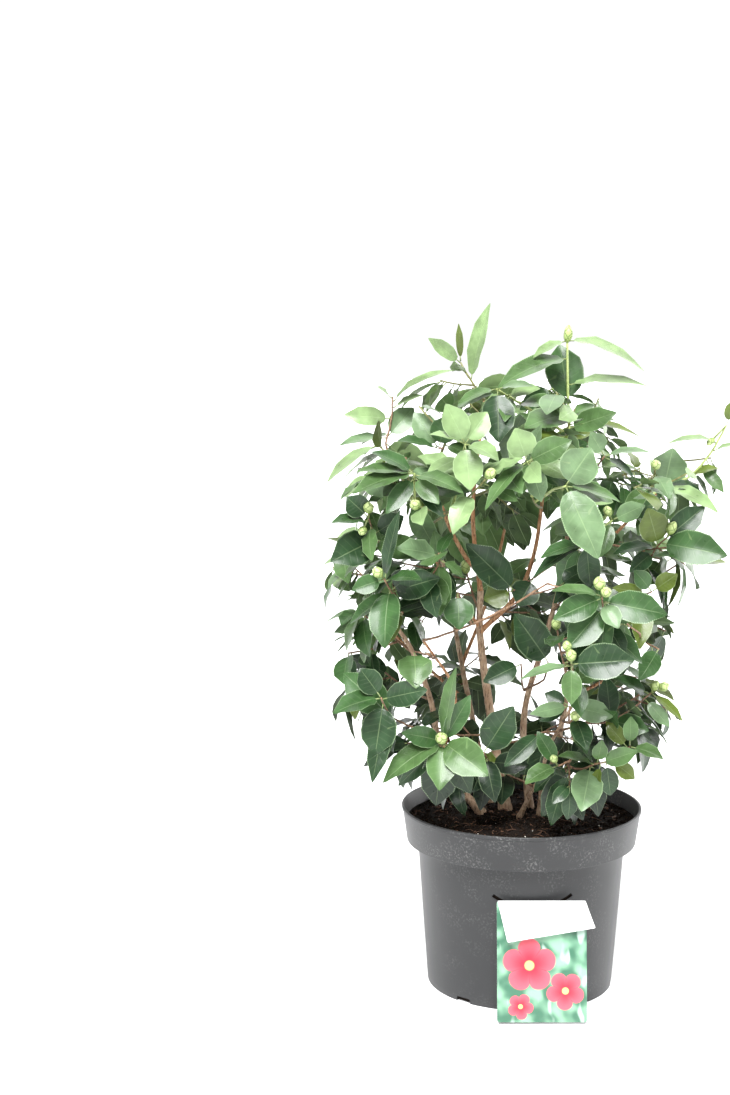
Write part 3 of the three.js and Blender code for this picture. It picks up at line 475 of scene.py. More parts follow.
SPRAYS: tuple[Spray, ...] = (
    Spray("top_shoot", (
        Leaf(0, 137, -12, 741, 28, PALE, EDGE, 50), Leaf(52, 143, -6, 723, 26, PALE, EDGE, 28),
        Leaf(0, 7, -10, 756, 19, PALE, EDGE, 30), Leaf(21, -36, -32, 722, 35, FRESH, UPWARD, 38),
        Leaf(73, 42, 28, 771, 46, MID, FRONT, 5), Leaf(89, 84, 10, 700, 19, FRESH, UPWARD, 20),
        Leaf(104, 105, -18, 693, 28, FRESH, FRONT, 20),
        Leaf(99, 136, -4, 663, 19, OLIVE, EDGE, 50),
    ), (
        Bud(49, 2, 784, 0.86, 2.0),
    ), green=True),
    Spray("top_left_shoot", (
        Leaf(25, -42, 10, 820, 26, PALE, LEFT, 12), Leaf(1, -115, 6, 779, 18, PALE, FRONT, 15),
        Leaf(0, -79, 12, 796, 9, OLIVE, FRONT, 5), Leaf(14, -87, 2, 741, 23, PALE, LEFT, 25),
    )),
    Spray(((-164, 0, 651), (-158, 10, 682), (-156, 16, 710),), (
        Leaf(7, -85, -4, 742, 23, PALE, EDGE, 45), Leaf(27, -214, 2, 689, 24, PALE, FRONT, 12),
        Leaf(3, -176, 6, 722, 14, PALE, UPWARD, 15), Leaf(14, -120, 4, 712, 16, PALE, UPWARD, 20),
        Leaf(49, -131, 26, 696, 29, ASH, FRONT, 10), Leaf(50, -220, -4, 653, 21, ASH, UPWARD, 25),
    )),
    Spray(((-104, -36, 653),), (
        Leaf(0, -93, -42, 692, 32, MID, FRONT, 10), Leaf(0, -152, -54, 663, 25, MID, UPWARD, 20),
        Leaf(0, -132, -22, 694, 30, ASH, FRONT, 15),
    )),
    Spray(((-82, -70, 619), (-78, -135, 666),), (
        Leaf(0, -118, -151, 678, 18, PALE, UPWARD, 25),
        Leaf(0, -42, -157, 649, 29, PALE, UPWARD, 35),
        Leaf(0, -73, -151, 616, 34, PALE, FRONT, 12),
        Leaf(0, -100, -139, 711, 31, PALE, FRONT, 15),
        Leaf(0, -53, -125, 701, 29, PALE, FRONT, 10),
    ), green=True),
    Spray(((-133, -80, 597), (-134, -125, 632),), (
        Leaf(0, -203, -151, 612, 33, FRESH, UPWARD, 28),
        Leaf(3, -80, -149, 612, 29, FRESH, UPWARD, 35),
        Leaf(0, -199, -133, 635, 24, FRESH, UPWARD, 25),
        Leaf(6, -107, -147, 600, 22, FRESH, FRONT, 15),
        Leaf(8, -166, -145, 589, 22, MID, FRONT, 20),
        Leaf(14, -101, -139, 584, 18, DEEP, FRONT, 20),
        Leaf(0, -182, -119, 656, 27, MID, UPWARD, 20),
    ), green=True),
    Spray(((-6, -34, 703), (-39, -66, 723),), (
        Leaf(2, -38, -88, 664, 39, DEEP, FRONT, 8), Leaf(25, -31, -88, 687, 20, FRESH, FRONT, 15),
        Leaf(0, 2, -80, 727, 20, ASH, UPWARD, 25), Leaf(0, -84, -82, 707, 18, FRESH, UPWARD, 30),
    ), green=True),
    Spray(((9, -70, 637), (-10, -144, 647),), (
        Leaf(0, -24, -150, 685, 34, PALE, FRONT, 8), Leaf(0, 4, -170, 627, 26, PALE, LEFT, 20),
        Leaf(0, -58, -174, 596, 21, FRESH, LEFT, 35),
        Leaf(0, 38, -158, 672, 29, FRESH, FRONT, 15),
    ), green=True),
    Spray(((16, -40, 595), (24, -100, 612), (31, -164, 622),), (
        Leaf(3, 59, -164, 664, 44, ASH, FRONT, 8), Leaf(0, 65, -190, 545, 44, ASH, FRONT, 14),
        Leaf(0, 92, -164, 604, 22, FRESH, UPWARD, 30),
    ), green=True),
    Spray(((136, -24, 506), (151, -44, 538), (161, -52, 550),), (
        Leaf(15, 137, -60, 586, 37, OLIVE, FRONT, 8), Leaf(10, 228, -74, 532, 41, MID, FRONT, 18),
        Leaf(4, 206, -44, 586, 30, DEEP, FRONT, 15), Leaf(17, 97, -68, 533, 23, DEEP, UPWARD, 25),
        Leaf(26, 116, -68, 512, 21, DEEP, FRONT, 20),
        Leaf(34, 168, -70, 530, 21, MID, UPWARD, 20),
    ), (
        Bud(166, -56, 562, 0.95, 1.5),
    )),
    Spray(((155, -10, 496), (170, -8, 505), (186, -6, 515),), ()),
    Spray(((162, -18, 606),), (
        Leaf(0, 169, -34, 653, 44, ASH, FRONT, 8), Leaf(0, 222, -44, 578, 28, PALE, UPWARD, 28),
        Leaf(0, 210, -4, 598, 28, DEEP, UPWARD, 25),
    ), green=True),
    Spray(((189, 4, 612), (216, 2, 639), (237, 0, 677),), (
        Leaf(24, 165, -12, 656, 16, PALE, EDGE, 60), Leaf(0, 243, -6, 707, 15, OLIVE, FRONT, 10),
        Leaf(77, 227, -10, 627, 21, OLIVE, UPWARD, 30),
        Leaf(57, 233, -14, 599, 16, FRESH, FRONT, 20), Leaf(35, 250, -6, 655, 12, PALE, EDGE, 20),
    ), (
        Bud(218, -4, 658, 0.66, 1.5),
    ), green=True),
    Spray(((69, -112, 429), (74, -170, 481), (70, -189, 504),), (
        Leaf(0, 13, -197, 511, 20, FRESH, UPWARD, 30), Leaf(3, 15, -205, 481, 30, MID, FRONT, 15),
        Leaf(20, 31, -201, 448, 36, MID, FRONT, 15), Leaf(8, 86, -207, 471, 22, ASH, FRONT, 12),
        Leaf(9, 141, -193, 484, 36, MID, FRONT, 18),
    ), (
        Bud(66, -195, 519, 1.1, 1.25), Bud(73, -198, 510, 0.98, 1.1),
    )),
    Spray(((47, -122, 387), (36, -202, 431),), (
        Leaf(0, 35, -214, 388, 23, FRESH, FRONT, 12),
        Leaf(0, 103, -216, 438, 41, DEEP, FRONT, 12), Leaf(5, -20, -204, 414, 17, ASH, EDGE, 25),
    ), (
        Bud(35, -208, 442, 0.98, 1.25), Bud(31, -202, 451, 0.84, 1.2),
    )),
    Spray(((89, -90, 340), (114, -93, 353), (141, -88, 374),), (
        Leaf(63, 97, -128, 361, 29, MID, FRONT, 15), Leaf(56, 136, -112, 335, 27, MID, FRONT, 20),
        Leaf(0, 176, -102, 344, 15, OLIVE, UPWARD, 20),
        Leaf(10, 161, -100, 337, 17, ASH, FRONT, 20), Leaf(2, 97, -84, 391, 23, MID, UPWARD, 20),
        Leaf(57, 90, -78, 392, 25, DEEP, FRONT, 10),
    ), (
        Bud(145, -92, 384, 0.9, 1.2), Bud(155, -94, 383, 0.9, 1.2),
    )),
    Spray(((58, -88, 284), (75, -116, 297), (94, -125, 305), (114, -119, 319),), (
        Leaf(50, 29, -139, 312, 20, FRESH, UPWARD, 25),
        Leaf(46, 80, -131, 329, 18, FRESH, FRONT, 12),
        Leaf(41, 120, -141, 319, 21, FRESH, FRONT, 15),
        Leaf(57, 55, -155, 252, 37, ASH, FRONT, 10), Leaf(41, 74, -127, 265, 15, OLIVE, LEFT, 15),
        Leaf(28, 119, -125, 282, 19, OLIVE, FRONT, 20),
        Leaf(34, 93, -113, 259, 23, DEEP, FRONT, 12),
        Leaf(1, 150, -133, 307, 23, FRESH, UPWARD, 25),
        Leaf(1, 114, -119, 354, 18, FRESH, FRONT, 8),
        Leaf(4, 87, -109, 345, 19, OLIVE, FRONT, 15),
    )),
    Spray(((32, -112, 294),), (
        Leaf(0, -7, -130, 277, 26, FRESH, UPWARD, 30), Leaf(0, 9, -100, 332, 20, MID, FRONT, 15),
    ), (
        Bud(27, -118, 304, 0.76, 1.2),
    )),
    Spray("front_rosette", (
        Leaf(3, -169, -136, 280, 35, FRESH, UPWARD, 35),
        Leaf(0, -105, -146, 274, 35, FRESH, FRONT, 22),
        Leaf(0, -50, -150, 292, 43, FRESH, FRONT, 22),
        Leaf(6, -85, -114, 410, 23, FRESH, LEFT, 8), Leaf(3, -68, -106, 376, 23, MID, FRONT, 12),
        Leaf(6, -148, -124, 336, 25, MID, FRONT, 25),
        Leaf(0, -67, -108, 260, 31, DEEP, FRONT, 12),
        Leaf(0, -107, -98, 243, 43, SHADE, FRONT, 6),
        Leaf(3, -151, -104, 268, 21, DEEP, FRONT, 20),
    ), (
        Bud(-102, -122, 329, 1.14, 1.05),
    )),
    Spray(((-33, -30, 270), (-51, -84, 303),), (
        Leaf(0, -18, -98, 361, 40, DEEP, FRONT, 10),
    )),
    Spray(((16, -74, 324),), (
        Leaf(0, -28, -92, 288, 23, DEEP, FRONT, 14), Leaf(0, 26, -82, 296, 14, ASH, FRONT, 12),
    )),
    Spray(((45, -106, 363),), (
        Leaf(0, -2, -126, 358, 17, ASH, FRONT, 18), Leaf(0, 11, -102, 344, 14, DEEP, FRONT, 15),
        Leaf(0, 94, -118, 353, 27, ASH, FRONT, 12), Leaf(0, 18, -92, 375, 18, DEEP, FRONT, 10),
    )),
    Spray(((-0, -14, 362), (-6, -48, 400),), (
        Leaf(0, -51, -60, 381, 28, DEEP, FRONT, 15),
    )),
    Spray(((22, -14, 372), (25, -54, 404),), (
        Leaf(0, -17, -76, 465, 43, DEEP, FRONT, 10),
    )),
    Spray(((-16, -56, 489),), (
        Leaf(0, -73, -72, 546, 40, DEEP, FRONT, 10), Leaf(0, -51, -58, 478, 31, OLIVE, FRONT, 10),
    )),
    Spray(((8, -44, 502),), (
        Leaf(0, -11, -54, 470, 35, DEEP, FRONT, 12),
    )),
    Spray(((51, -60, 535), (56, -151, 557),), (
        Leaf(0, 4, -165, 542, 23, MID, UPWARD, 25), Leaf(0, -3, -157, 519, 20, DEEP, UPWARD, 35),
        Leaf(0, 62, -147, 506, 27, DEEP, FRONT, 12),
    )),
    Spray(((-84, -112, 496),), (
        Leaf(0, -83, -130, 456, 35, MID, FRONT, 10),
    )),
    Spray(((-146, -74, 464), (-161, -125, 501), (-168, -141, 516),), (
        Leaf(5, -126, -167, 518, 26, MID, UPWARD, 38),
        Leaf(3, -150, -145, 594, 21, DEEP, LEFT, 10),
        Leaf(29, -105, -149, 518, 34, DEEP, FRONT, 10),
        Leaf(26, -137, -129, 519, 29, SHADE, FRONT, 10),
        Leaf(1, -204, -149, 504, 22, MID, FRONT, 20),
    ), (
        Bud(-175, -147, 524, 1.0, 1.2),
    )),
    Spray(((-163, -70, 531), (-179, -96, 560), (-185, -106, 580),), (
        Leaf(33, -228, -122, 532, 42, DEEP, FRONT, 15),
        Leaf(5, -227, -120, 576, 24, MID, UPWARD, 25),
        Leaf(0, -210, -108, 604, 29, DEEP, FRONT, 12),
        Leaf(23, -145, -98, 581, 27, DEEP, FRONT, 12),
    ), (
        Bud(-185, -110, 592, 1.0, 1.1), Bud(-192, -112, 566, 0.84, 1.1),
    )),
    Spray(((-144, -76, 335), (-163, -119, 359), (-171, -135, 379),), (
        Leaf(1, -225, -155, 365, 35, MID, UPWARD, 28),
        Leaf(3, -119, -153, 392, 30, DEEP, FRONT, 15),
        Leaf(9, -178, -143, 313, 41, DEEP, FRONT, 12),
        Leaf(21, -181, -153, 285, 25, DEEP, FRONT, 10),
        Leaf(0, -195, -131, 412, 29, DEEP, FRONT, 12),
    )),
    Spray(((-133, -116, 428),), (
        Leaf(0, -132, -152, 393, 40, FRESH, FRONT, 25),
    )),
    Spray(((74, -22, 621), (87, -52, 645),), (
        Leaf(2, 121, -58, 619, 18, DEEP, EDGE, 40), Leaf(0, 70, -56, 673, 23, ASH, FRONT, 12),
        Leaf(0, 139, -58, 650, 18, ASH, EDGE, 30),
    )),
    Spray(((96, -62, 572),), (
        Leaf(0, 132, -76, 591, 23, ASH, FRONT, 15), Leaf(0, 79, -80, 530, 20, FRESH, FRONT, 10),
    ), (
        Bud(90, -68, 583, 0.88, 1.3),
    ), green=True),
    Spray(((128, -44, 473), (143, -66, 489),), (
        Leaf(0, 171, -74, 511, 22, OLIVE, FRONT, 10), Leaf(0, 121, -72, 515, 21, MID, FRONT, 12),
        Leaf(9, 96, -74, 495, 17, OLIVE, FRONT, 15),
        Leaf(14, 127, -88, 425, 25, OLIVE, FRONT, 15),
    )),
)

CROWN_TOP = ((320, 450), (345, 408), (385, 400), (400, 392), (430, 382), (470, 372), (500, 372),
             (545, 386), (600, 400), (618, 420), (645, 458), (692, 462), (712, 452), (740, 430))
CROWN_SIDES = ((380, 330, 740), (480, 326, 738), (560, 320, 732), (595, 318, 692), (625, 318, 678),
               (660, 320, 664), (700, 322, 690), (725, 326, 684), (750, 340, 668), (775, 362, 642),
               (795, 384, 616), (815, 412, 604))


# Camera, floor and light

@dataclass(frozen=True)
class Viewpoint:
    """The photograph's camera, in millimetres, degrees and pixels of the photograph."""

    place: tuple[float, float, float] = (-189.07, -2239.8, 840.8)
    pitch: float = -7.862
    focal: float = 1901.9
    frame: tuple[float, float] = (730.0, 1095.0)


VIEWPOINT = Viewpoint()


@dataclass(frozen=True)
class Studio:
    """The camera at the photograph's place, the pale floor and the soft lights, in metres."""

    sensor: float = 36.0
    nearest: float = 0.05
    farthest: float = 60.0
    floor_size: float = 30.0
    horizon: tuple[float, float] = (0.3, 1.03)
    overhead: tuple[float, float] = (0.6, 0.3)
    aim: tuple[float, float, float] = (0.0, 0.0, 0.42)

    def build(self) -> None:
        """Makes the camera first, then the world, the floor and the lights."""
        self._camera()
        self._world()
        self._floor()
        self._light("key", (-0.25, -1.2, 2.2), softness=36.0, power=8.0)
        self._light("side", (1.7, 0.9, 0.5), softness=40.0, power=2.6)
        self._light("rim", (0.5, 1.3, 1.7), softness=60.0, power=1.4)

    def _camera(self) -> None:
        """Sets the scene's camera, as it was fitted to the pot."""
        data = bpy.data.cameras.new("camera")
        data.sensor_width = self.sensor
        data.lens = VIEWPOINT.focal / VIEWPOINT.frame[1] * self.sensor
        data.clip_start, data.clip_end = self.nearest, self.farthest
        camera = linked("camera", data)
        camera.location = [c * MM for c in VIEWPOINT.place]
        camera.rotation_euler = (math.radians(90.0 + VIEWPOINT.pitch), 0.0, 0.0)
        bpy.context.scene.camera = camera

    def _world(self) -> None:
        """A white studio all round, dimmer overhead, where the lights stand."""
        scene = bpy.context.scene
        scene.view_settings.view_transform = "Standard"
        world = bpy.data.worlds.new("studio")
        world.use_nodes = True
        tree = world.node_tree
        place = tree.nodes.new("ShaderNodeTexCoord")
        split = tree.nodes.new("ShaderNodeSeparateXYZ")
        sky = tree.nodes.new("ShaderNodeValToRGB")
        for element, (level, shade) in zip(sky.color_ramp.elements,
                                           (self.horizon, self.overhead)):
            element.position = level
            element.color = (shade, shade, shade, 1.0)
        tree.links.new(place.outputs["Generated"], split.inputs[0])
        tree.links.new(split.outputs["Z"], sky.inputs[0])
        tree.links.new(sky.outputs[0], tree.nodes["Background"].inputs["Color"])
        scene.world = world

    def _floor(self) -> None:
        """A pale plain floor, which isn't part of the plant."""
        shape = bmesh.new()
        bmesh.ops.create_grid(shape, x_segments=1, y_segments=1, size=self.floor_size / 2)
        floor = linked("studio_floor", meshed("studio_floor", shape))
        floor.data.materials.append(FloorFinish().build())

    def _light(self, name: str, place: tuple[float, float, float], softness: float,
               power: float) -> None:
        """Adds a distant soft light that shines on the plant's middle.

        Args:
            name: The light's name.
            place: A point that it shines from, in metres.
            softness: How wide it looks, in degrees.
            power: Its strength.
        """
        data = bpy.data.lights.new(name, "SUN")
        data.angle = math.radians(softness)
        data.energy = power
        light = linked(name, data)
        light.location = place
        way = Vector(self.aim) - Vector(place)
        light.rotation_euler = way.to_track_quat("-Z", "Y").to_euler()


# Shader maths

class Wire:
    """A shader value that sums, products and powers can be written with."""

    def __init__(self, canvas: "Canvas", socket: NodeSocket) -> None:
        """Keeps the canvas that the value is on and its socket."""
        self.canvas = canvas
        self.socket = socket

    def _math(self, operation: str, first: Any, second: Any = None) -> "Wire":
        """Adds one Math node on two values."""
        sockets = {0: first} if second is None else {0: first, 1: second}
        return self.canvas.node("ShaderNodeMath", {"operation": operation}, sockets)

    def __add__(self, other: Any) -> "Wire":
        """Self plus a value."""
        return self._math("ADD", self, other)

    def __radd__(self, other: Any) -> "Wire":
        """A value plus self."""
        return self._math("ADD", other, self)

    def __sub__(self, other: Any) -> "Wire":
        """Self less a value."""
        return self._math("SUBTRACT", self, other)

    def __rsub__(self, other: Any) -> "Wire":
        """A value less self."""
        return self._math("SUBTRACT", other, self)

    def __mul__(self, other: Any) -> "Wire":
        """Self times a value."""
        return self._math("MULTIPLY", self, other)

    def __rmul__(self, other: Any) -> "Wire":
        """A value times self."""
        return self._math("MULTIPLY", other, self)

    def __truediv__(self, other: Any) -> "Wire":
        """Self over a value."""
        return self._math("DIVIDE", self, other)

    def __rtruediv__(self, other: Any) -> "Wire":
        """A value over self."""
        return self._math("DIVIDE", other, self)

    def __pow__(self, other: Any) -> "Wire":
        """Self to a power."""
        return self._math("POWER", self, other)

    def sine(self) -> "Wire":
        """The sine of self in radians."""
        return self._math("SINE", self)

    def size(self) -> "Wire":
        """Self without its sign."""
        return self._math("ABSOLUTE", self)

    def least(self, other: Any) -> "Wire":
        """The smaller of self and a value."""
        return self._math("MINIMUM", self, other)

    def most(self, other: Any) -> "Wire":
        """The larger of self and a value."""
        return self._math("MAXIMUM", self, other)

    def rise(self, low: float, high: float) -> "Wire":
        """A smooth step from 0 to 1.

        Args:
            low: What self is where the step starts.
            high: What self is where it ends.

        Returns:
            The step.
        """
        settings = {"interpolation_type": "SMOOTHSTEP"}
        sockets = {"Value": self, "From Min": low, "From Max": high}
        return self.canvas.node("ShaderNodeMapRange", settings, sockets)


Colour = tuple[float, float, float]


class Canvas:
    """A material's nodes, ending in one Principled shader."""

    def __init__(self, name: str) -> None:
        """Starts a material.

        Args:
            name: Its name.
        """
        self.material = bpy.data.materials.new(name)
        self.material.use_nodes = True
        self.tree = self.material.node_tree
        self.shader = self.tree.nodes["Principled BSDF"]

    def node(self, kind: str, settings: dict[str, Any] | None = None,
             sockets: dict[int | str, Any] | None = None, out: int | str = 0) -> Wire:
        """Adds one node of any kind.

        Args:
            kind: The node's type.
            settings: Its settings, such as a Math node's operation or a ramp's stops, set first.
            sockets: Values or links of its input sockets, by number or name.
            out: Which output to give back.

        Returns:
            The output as a Wire.
        """
        made = self.tree.nodes.new(kind)
        for key, value in (settings or {}).items():
            if key == "stops":
                self._stops(made.color_ramp, value)
            else:
                setattr(made, key, value)
        for key, value in (sockets or {}).items():
            self._feed(made.inputs[key], value)
        return Wire(self, made.outputs[out])

    def _stops(self, ramp: ColorRamp, stops: Sequence[tuple[float, Colour]]) -> None:
        """Sets a colour ramp's stops.

        Args:
            ramp: The ramp.
            stops: Their places and colours.
        """
        while len(ramp.elements) < len(stops):
            ramp.elements.new(0.5)
        for element, (place, colour) in zip(ramp.elements, stops):
            element.position = place
            element.color = (*colour, 1.0)

    def _feed(self, socket: NodeSocket, value: Any) -> None:
        """Links a Wire to a socket, or sets the socket to a plain value.

        Args:
            socket: The socket.
            value: The Wire or plain value.
        """
        if isinstance(value, Wire):
            self.tree.links.new(value.socket, socket)
        elif socket.type == "RGBA":
            socket.default_value = (*value[:3], 1.0)
        else:
            socket.default_value = value

    def dress(self, **values: Any) -> None:
        """Sets or links the Principled shader's sockets, with _ for a space in a name."""
        for key, value in values.items():
            self._feed(self.shader.inputs[key.replace("_", " ")], value)

    def place(self) -> Wire:
        """The surface point on Object coordinates."""
        return self.node("ShaderNodeTexCoord", out="Object")

    def flat(self) -> tuple[Wire, Wire]:
        """Reads the piece's own UV map.

        Returns:
            Its two numbers.
        """
        uv = self.node("ShaderNodeUVMap", {"uv_map": UV_NAME})
        across = self.node("ShaderNodeSeparateXYZ", None, {0: uv})
        return across, Wire(self, across.socket.node.outputs[1])

    def speckle(self, scale: float, detail: float = 3.0, rough: float = 0.5,
                where: Wire | None = None, stretch: Colour | None = None) -> Wire:
        """Noise on the surface.

        Args:
            scale: Its scale, in cells a metre.
            detail: Its octaves.
            rough: The share of each octave.
            where: The coordinates, Object ones if none are given.
            stretch: A scale for each axis.

        Returns:
            The noise, from 0 to 1.
        """
        point = where or self.place()
        if stretch is not None:
            point = self.node("ShaderNodeMapping", None, {"Vector": point, "Scale": stretch})
        sockets = {"Vector": point, "Scale": scale, "Detail": detail, "Roughness": rough}
        return self.node("ShaderNodeTexNoise", None, sockets, "Fac")

    def blend(self, share: Any, first: Any, second: Any, way: str = "MIX") -> Wire:
        """A colour that goes from the first to the second as share goes from 0 to 1."""
        settings = {"data_type": "RGBA", "blend_type": way}
        return self.node("ShaderNodeMix", settings, {0: share, 6: first, 7: second}, 2)

    def bump(self, height: Wire, depth: float, strength: float = 1.0,
             under: Wire | None = None) -> Wire:
        """Bumps the surface.

        Args:
            height: The height, from 0 to 1.
            depth: What a height of 1 is in millimetres.
            strength: How much of the bump shows.
            under: Another bump's normal, below this one.

        Returns:
            The bumped normal.
        """
        sockets: dict[int | str, Any] = {"Height": height, "Distance": depth * MM,
                                         "Strength": strength}
        if under is not None:
            sockets["Normal"] = under
        return self.node("ShaderNodeBump", None, sockets)


@dataclass(frozen=True)
class FloorFinish:
    """Plain pale floor paint."""

    def build(self) -> Material:
        """Makes the material.

        Returns:
            The material.
        """
        canvas = Canvas("floor_paint")
        shade = canvas.blend(canvas.speckle(3.0), (0.86, 0.865, 0.87), (0.9, 0.905, 0.91))
        canvas.dress(Base_Color=shade, Roughness=0.7)
        return canvas.material


@dataclass(frozen=True)
class PotPlastic:
    """Black moulded plastic, satin, with scuffs and dust on its rim band."""

    base: Colour = (0.02, 0.0205, 0.0215)
    scuff: Colour = (0.2, 0.2, 0.195)
    shine: float = 0.4

    def build(self) -> Material:
        """Makes the material.

        Returns:
            The material.
        """
        canvas = Canvas("pot_plastic")
        height = canvas.node("ShaderNodeSeparateXYZ", None, {0: canvas.place()}, "Z")
        on_band = height.rise(0.172, 0.18)
        grit = canvas.speckle(420.0, 2.0, 0.6).rise(0.5, 0.7)
        patch = canvas.speckle(30.0, 3.0).rise(0.4, 0.62)
        dust = grit * patch * (0.35 + 0.65 * on_band)
        streak = canvas.speckle(60.0, 2.0, 0.5, stretch=(1.0, 1.0, 0.08))
        colour = canvas.blend(dust * 0.5, self.base, self.scuff)
        wear = canvas.speckle(900.0, 2.0)
        rough = self.shine + 0.1 * streak + 0.22 * dust
        canvas.dress(Base_Color=colour, Roughness=rough, Specular_IOR_Level=0.42,
                     Normal=canvas.bump(wear + dust, 0.05, 0.5))
        return canvas.material


@dataclass(frozen=True)
class Compost:
    """Dark moist compost."""

    name: str
    dark: Colour
    light: Colour
    shine: float = 0.92

    def build(self) -> Material:
        """Makes the material.

        Returns:
            The material.
        """
        canvas = Canvas(self.name)
        fine = canvas.speckle(700.0, 4.0, 0.7)
        patch = canvas.speckle(90.0, 3.0).rise(0.35, 0.7)
        colour = canvas.blend(fine.rise(0.4, 0.75) * (0.35 + 0.65 * patch), self.dark, self.light)
        canvas.dress(Base_Color=colour, Roughness=self.shine, Specular_IOR_Level=0.15,
                     Normal=canvas.bump(fine, 0.6, 0.9))
        return canvas.material


@dataclass(frozen=True)
class Bark:
    """Bark with cracks that run upward."""

    name: str
    dark: Colour
    mid: Colour
    light: Colour
    shine: float = 0.7

    def build(self) -> Material:
        """Makes the material.

        Returns:
            The material.
        """
        canvas = Canvas(self.name)
        grain = canvas.speckle(520.0, 4.0, 0.65, stretch=(1.0, 1.0, 0.16))
        mottle = canvas.speckle(110.0, 3.0)
        ringed = canvas.speckle(260.0, 2.0, stretch=(0.3, 0.3, 1.0))
        tone = canvas.blend(mottle.rise(0.3, 0.7), self.mid, self.light)
        colour = canvas.blend(grain.rise(0.52, 0.36), tone, self.dark)
        canvas.dress(Base_Color=colour, Roughness=self.shine,
                     Normal=canvas.bump(grain + 0.35 * ringed, 0.35, 0.8))
        return canvas.material


@dataclass(frozen=True)
class LeafSkin:
    """The upper or under side of leaves, with a pale midrib, side veins and a pale rim."""

    name: str
    blade: Colour
    vein: Colour
    rim: Colour
    shine: float = 0.24
    coat: float = 0.3
    vein_share: float = 0.3

    def build(self) -> Material:
        """Makes the material.

        Returns:
            The material.
        """
        canvas = Canvas(self.name)
        across, along = canvas.flat()
        off_rib = (across - 0.5).size() * 2.0
        midrib = 1.0 - off_rib.rise(0.01, 0.05)
        wave = ((along - off_rib * 0.16) * 46.0).sine()
        side_veins = wave.rise(0.82, 1.0) * (1.0 - off_rib.rise(0.6, 0.95))
        teeth = (along * 210.0).sine() * 0.03
        rim = (off_rib + teeth).rise(0.93, 0.985)
        cloud = canvas.speckle(45.0, 3.0).rise(0.3, 0.72)
        deep = tuple(0.6 * c for c in self.blade)
        colour = canvas.blend(cloud, deep, self.blade)
        colour = canvas.blend((midrib * self.vein_share).most(side_veins * 0.045), colour,
                              self.vein)
        colour = canvas.blend(rim * 0.6, colour, self.rim)
        ribs = 1.0 - (midrib * 0.9).most(side_veins * 0.3)
        pucker = canvas.speckle(230.0, 2.0)
        swell = canvas.bump(canvas.speckle(48.0, 1.0), 2.2, 0.8)
        canvas.dress(Base_Color=colour, Roughness=self.shine + 0.14 * cloud,
                     Coat_Weight=self.coat, Coat_Roughness=0.18, Specular_IOR_Level=0.26,
                     Normal=canvas.bump(ribs + 0.4 * pucker, 0.3, 0.6, swell))
        return canvas.material


@dataclass(frozen=True)
class GreenSkin:
    """Plain young skin of buds, petioles and green twigs."""

    name: str
    low: Colour
    high: Colour
    shine: float = 0.45

    def build(self) -> Material:
        """Makes the material.

        Returns:
            The material.
        """
        canvas = Canvas(self.name)
        mottle = canvas.speckle(240.0, 3.0)
        canvas.dress(Base_Color=canvas.blend(mottle.rise(0.3, 0.7), self.low, self.high),
                     Roughness=self.shine, Normal=canvas.bump(mottle, 0.2, 0.4))
        return canvas.material


@dataclass(frozen=True)
class BudScales:
    """The overlapping scales of flower buds: pale, with painted shade in the darker seams between them.
    """

    name: str = "bud_scales"
    # The seams' colour: painted shade where one scale laps over the next.
    edge: Colour = (0.13, 0.2, 0.05)
    low: Colour = (0.24, 0.33, 0.09)
    high: Colour = (0.44, 0.53, 0.22)
    turns: float = 9.425
    climb: float = 5.4

    def build(self) -> Material:
        """Makes the material.

        Returns:
            The material.
        """
        canvas = Canvas(self.name)
        round_it, up = canvas.flat()
        one = (round_it * self.turns + up * self.climb).sine().size()
        other = (round_it * self.turns - up * self.climb).sine().size()
        middle = one.least(other).rise(0.0, 0.4)
        tone = canvas.blend(up.rise(0.1, 0.9), self.low, self.high)
        # The seams between the scales take the darker colour as painted shade.
        canvas.dress(Base_Color=canvas.blend(middle, self.edge, tone), Roughness=0.5,
                     Normal=canvas.bump(middle, 0.5, 0.7))
        return canvas.material


@dataclass(frozen=True)
class CardStock:
    """White card under a clear film."""

    name: str = "card_white"
    white: Colour = (0.76, 0.77, 0.76)

    def build(self) -> Material:
        """Makes the material.

        Returns:
            The material.
        """
        canvas = Canvas(self.name)
        tone = canvas.speckle(18.0, 2.0)
        colour = canvas.blend(tone, self.white, tuple(0.95 * c for c in self.white))
        canvas.dress(Base_Color=colour, Roughness=0.32 + 0.06 * tone, Coat_Weight=0.2,
                     Coat_Roughness=0.2, Normal=canvas.bump(tone, 0.2, 0.2))
        return canvas.material


@dataclass(frozen=True)
class Blossom:
    """A simple open flower of five petals on the card's picture."""

    across: float
    up: float
    radius: float
    turn: float


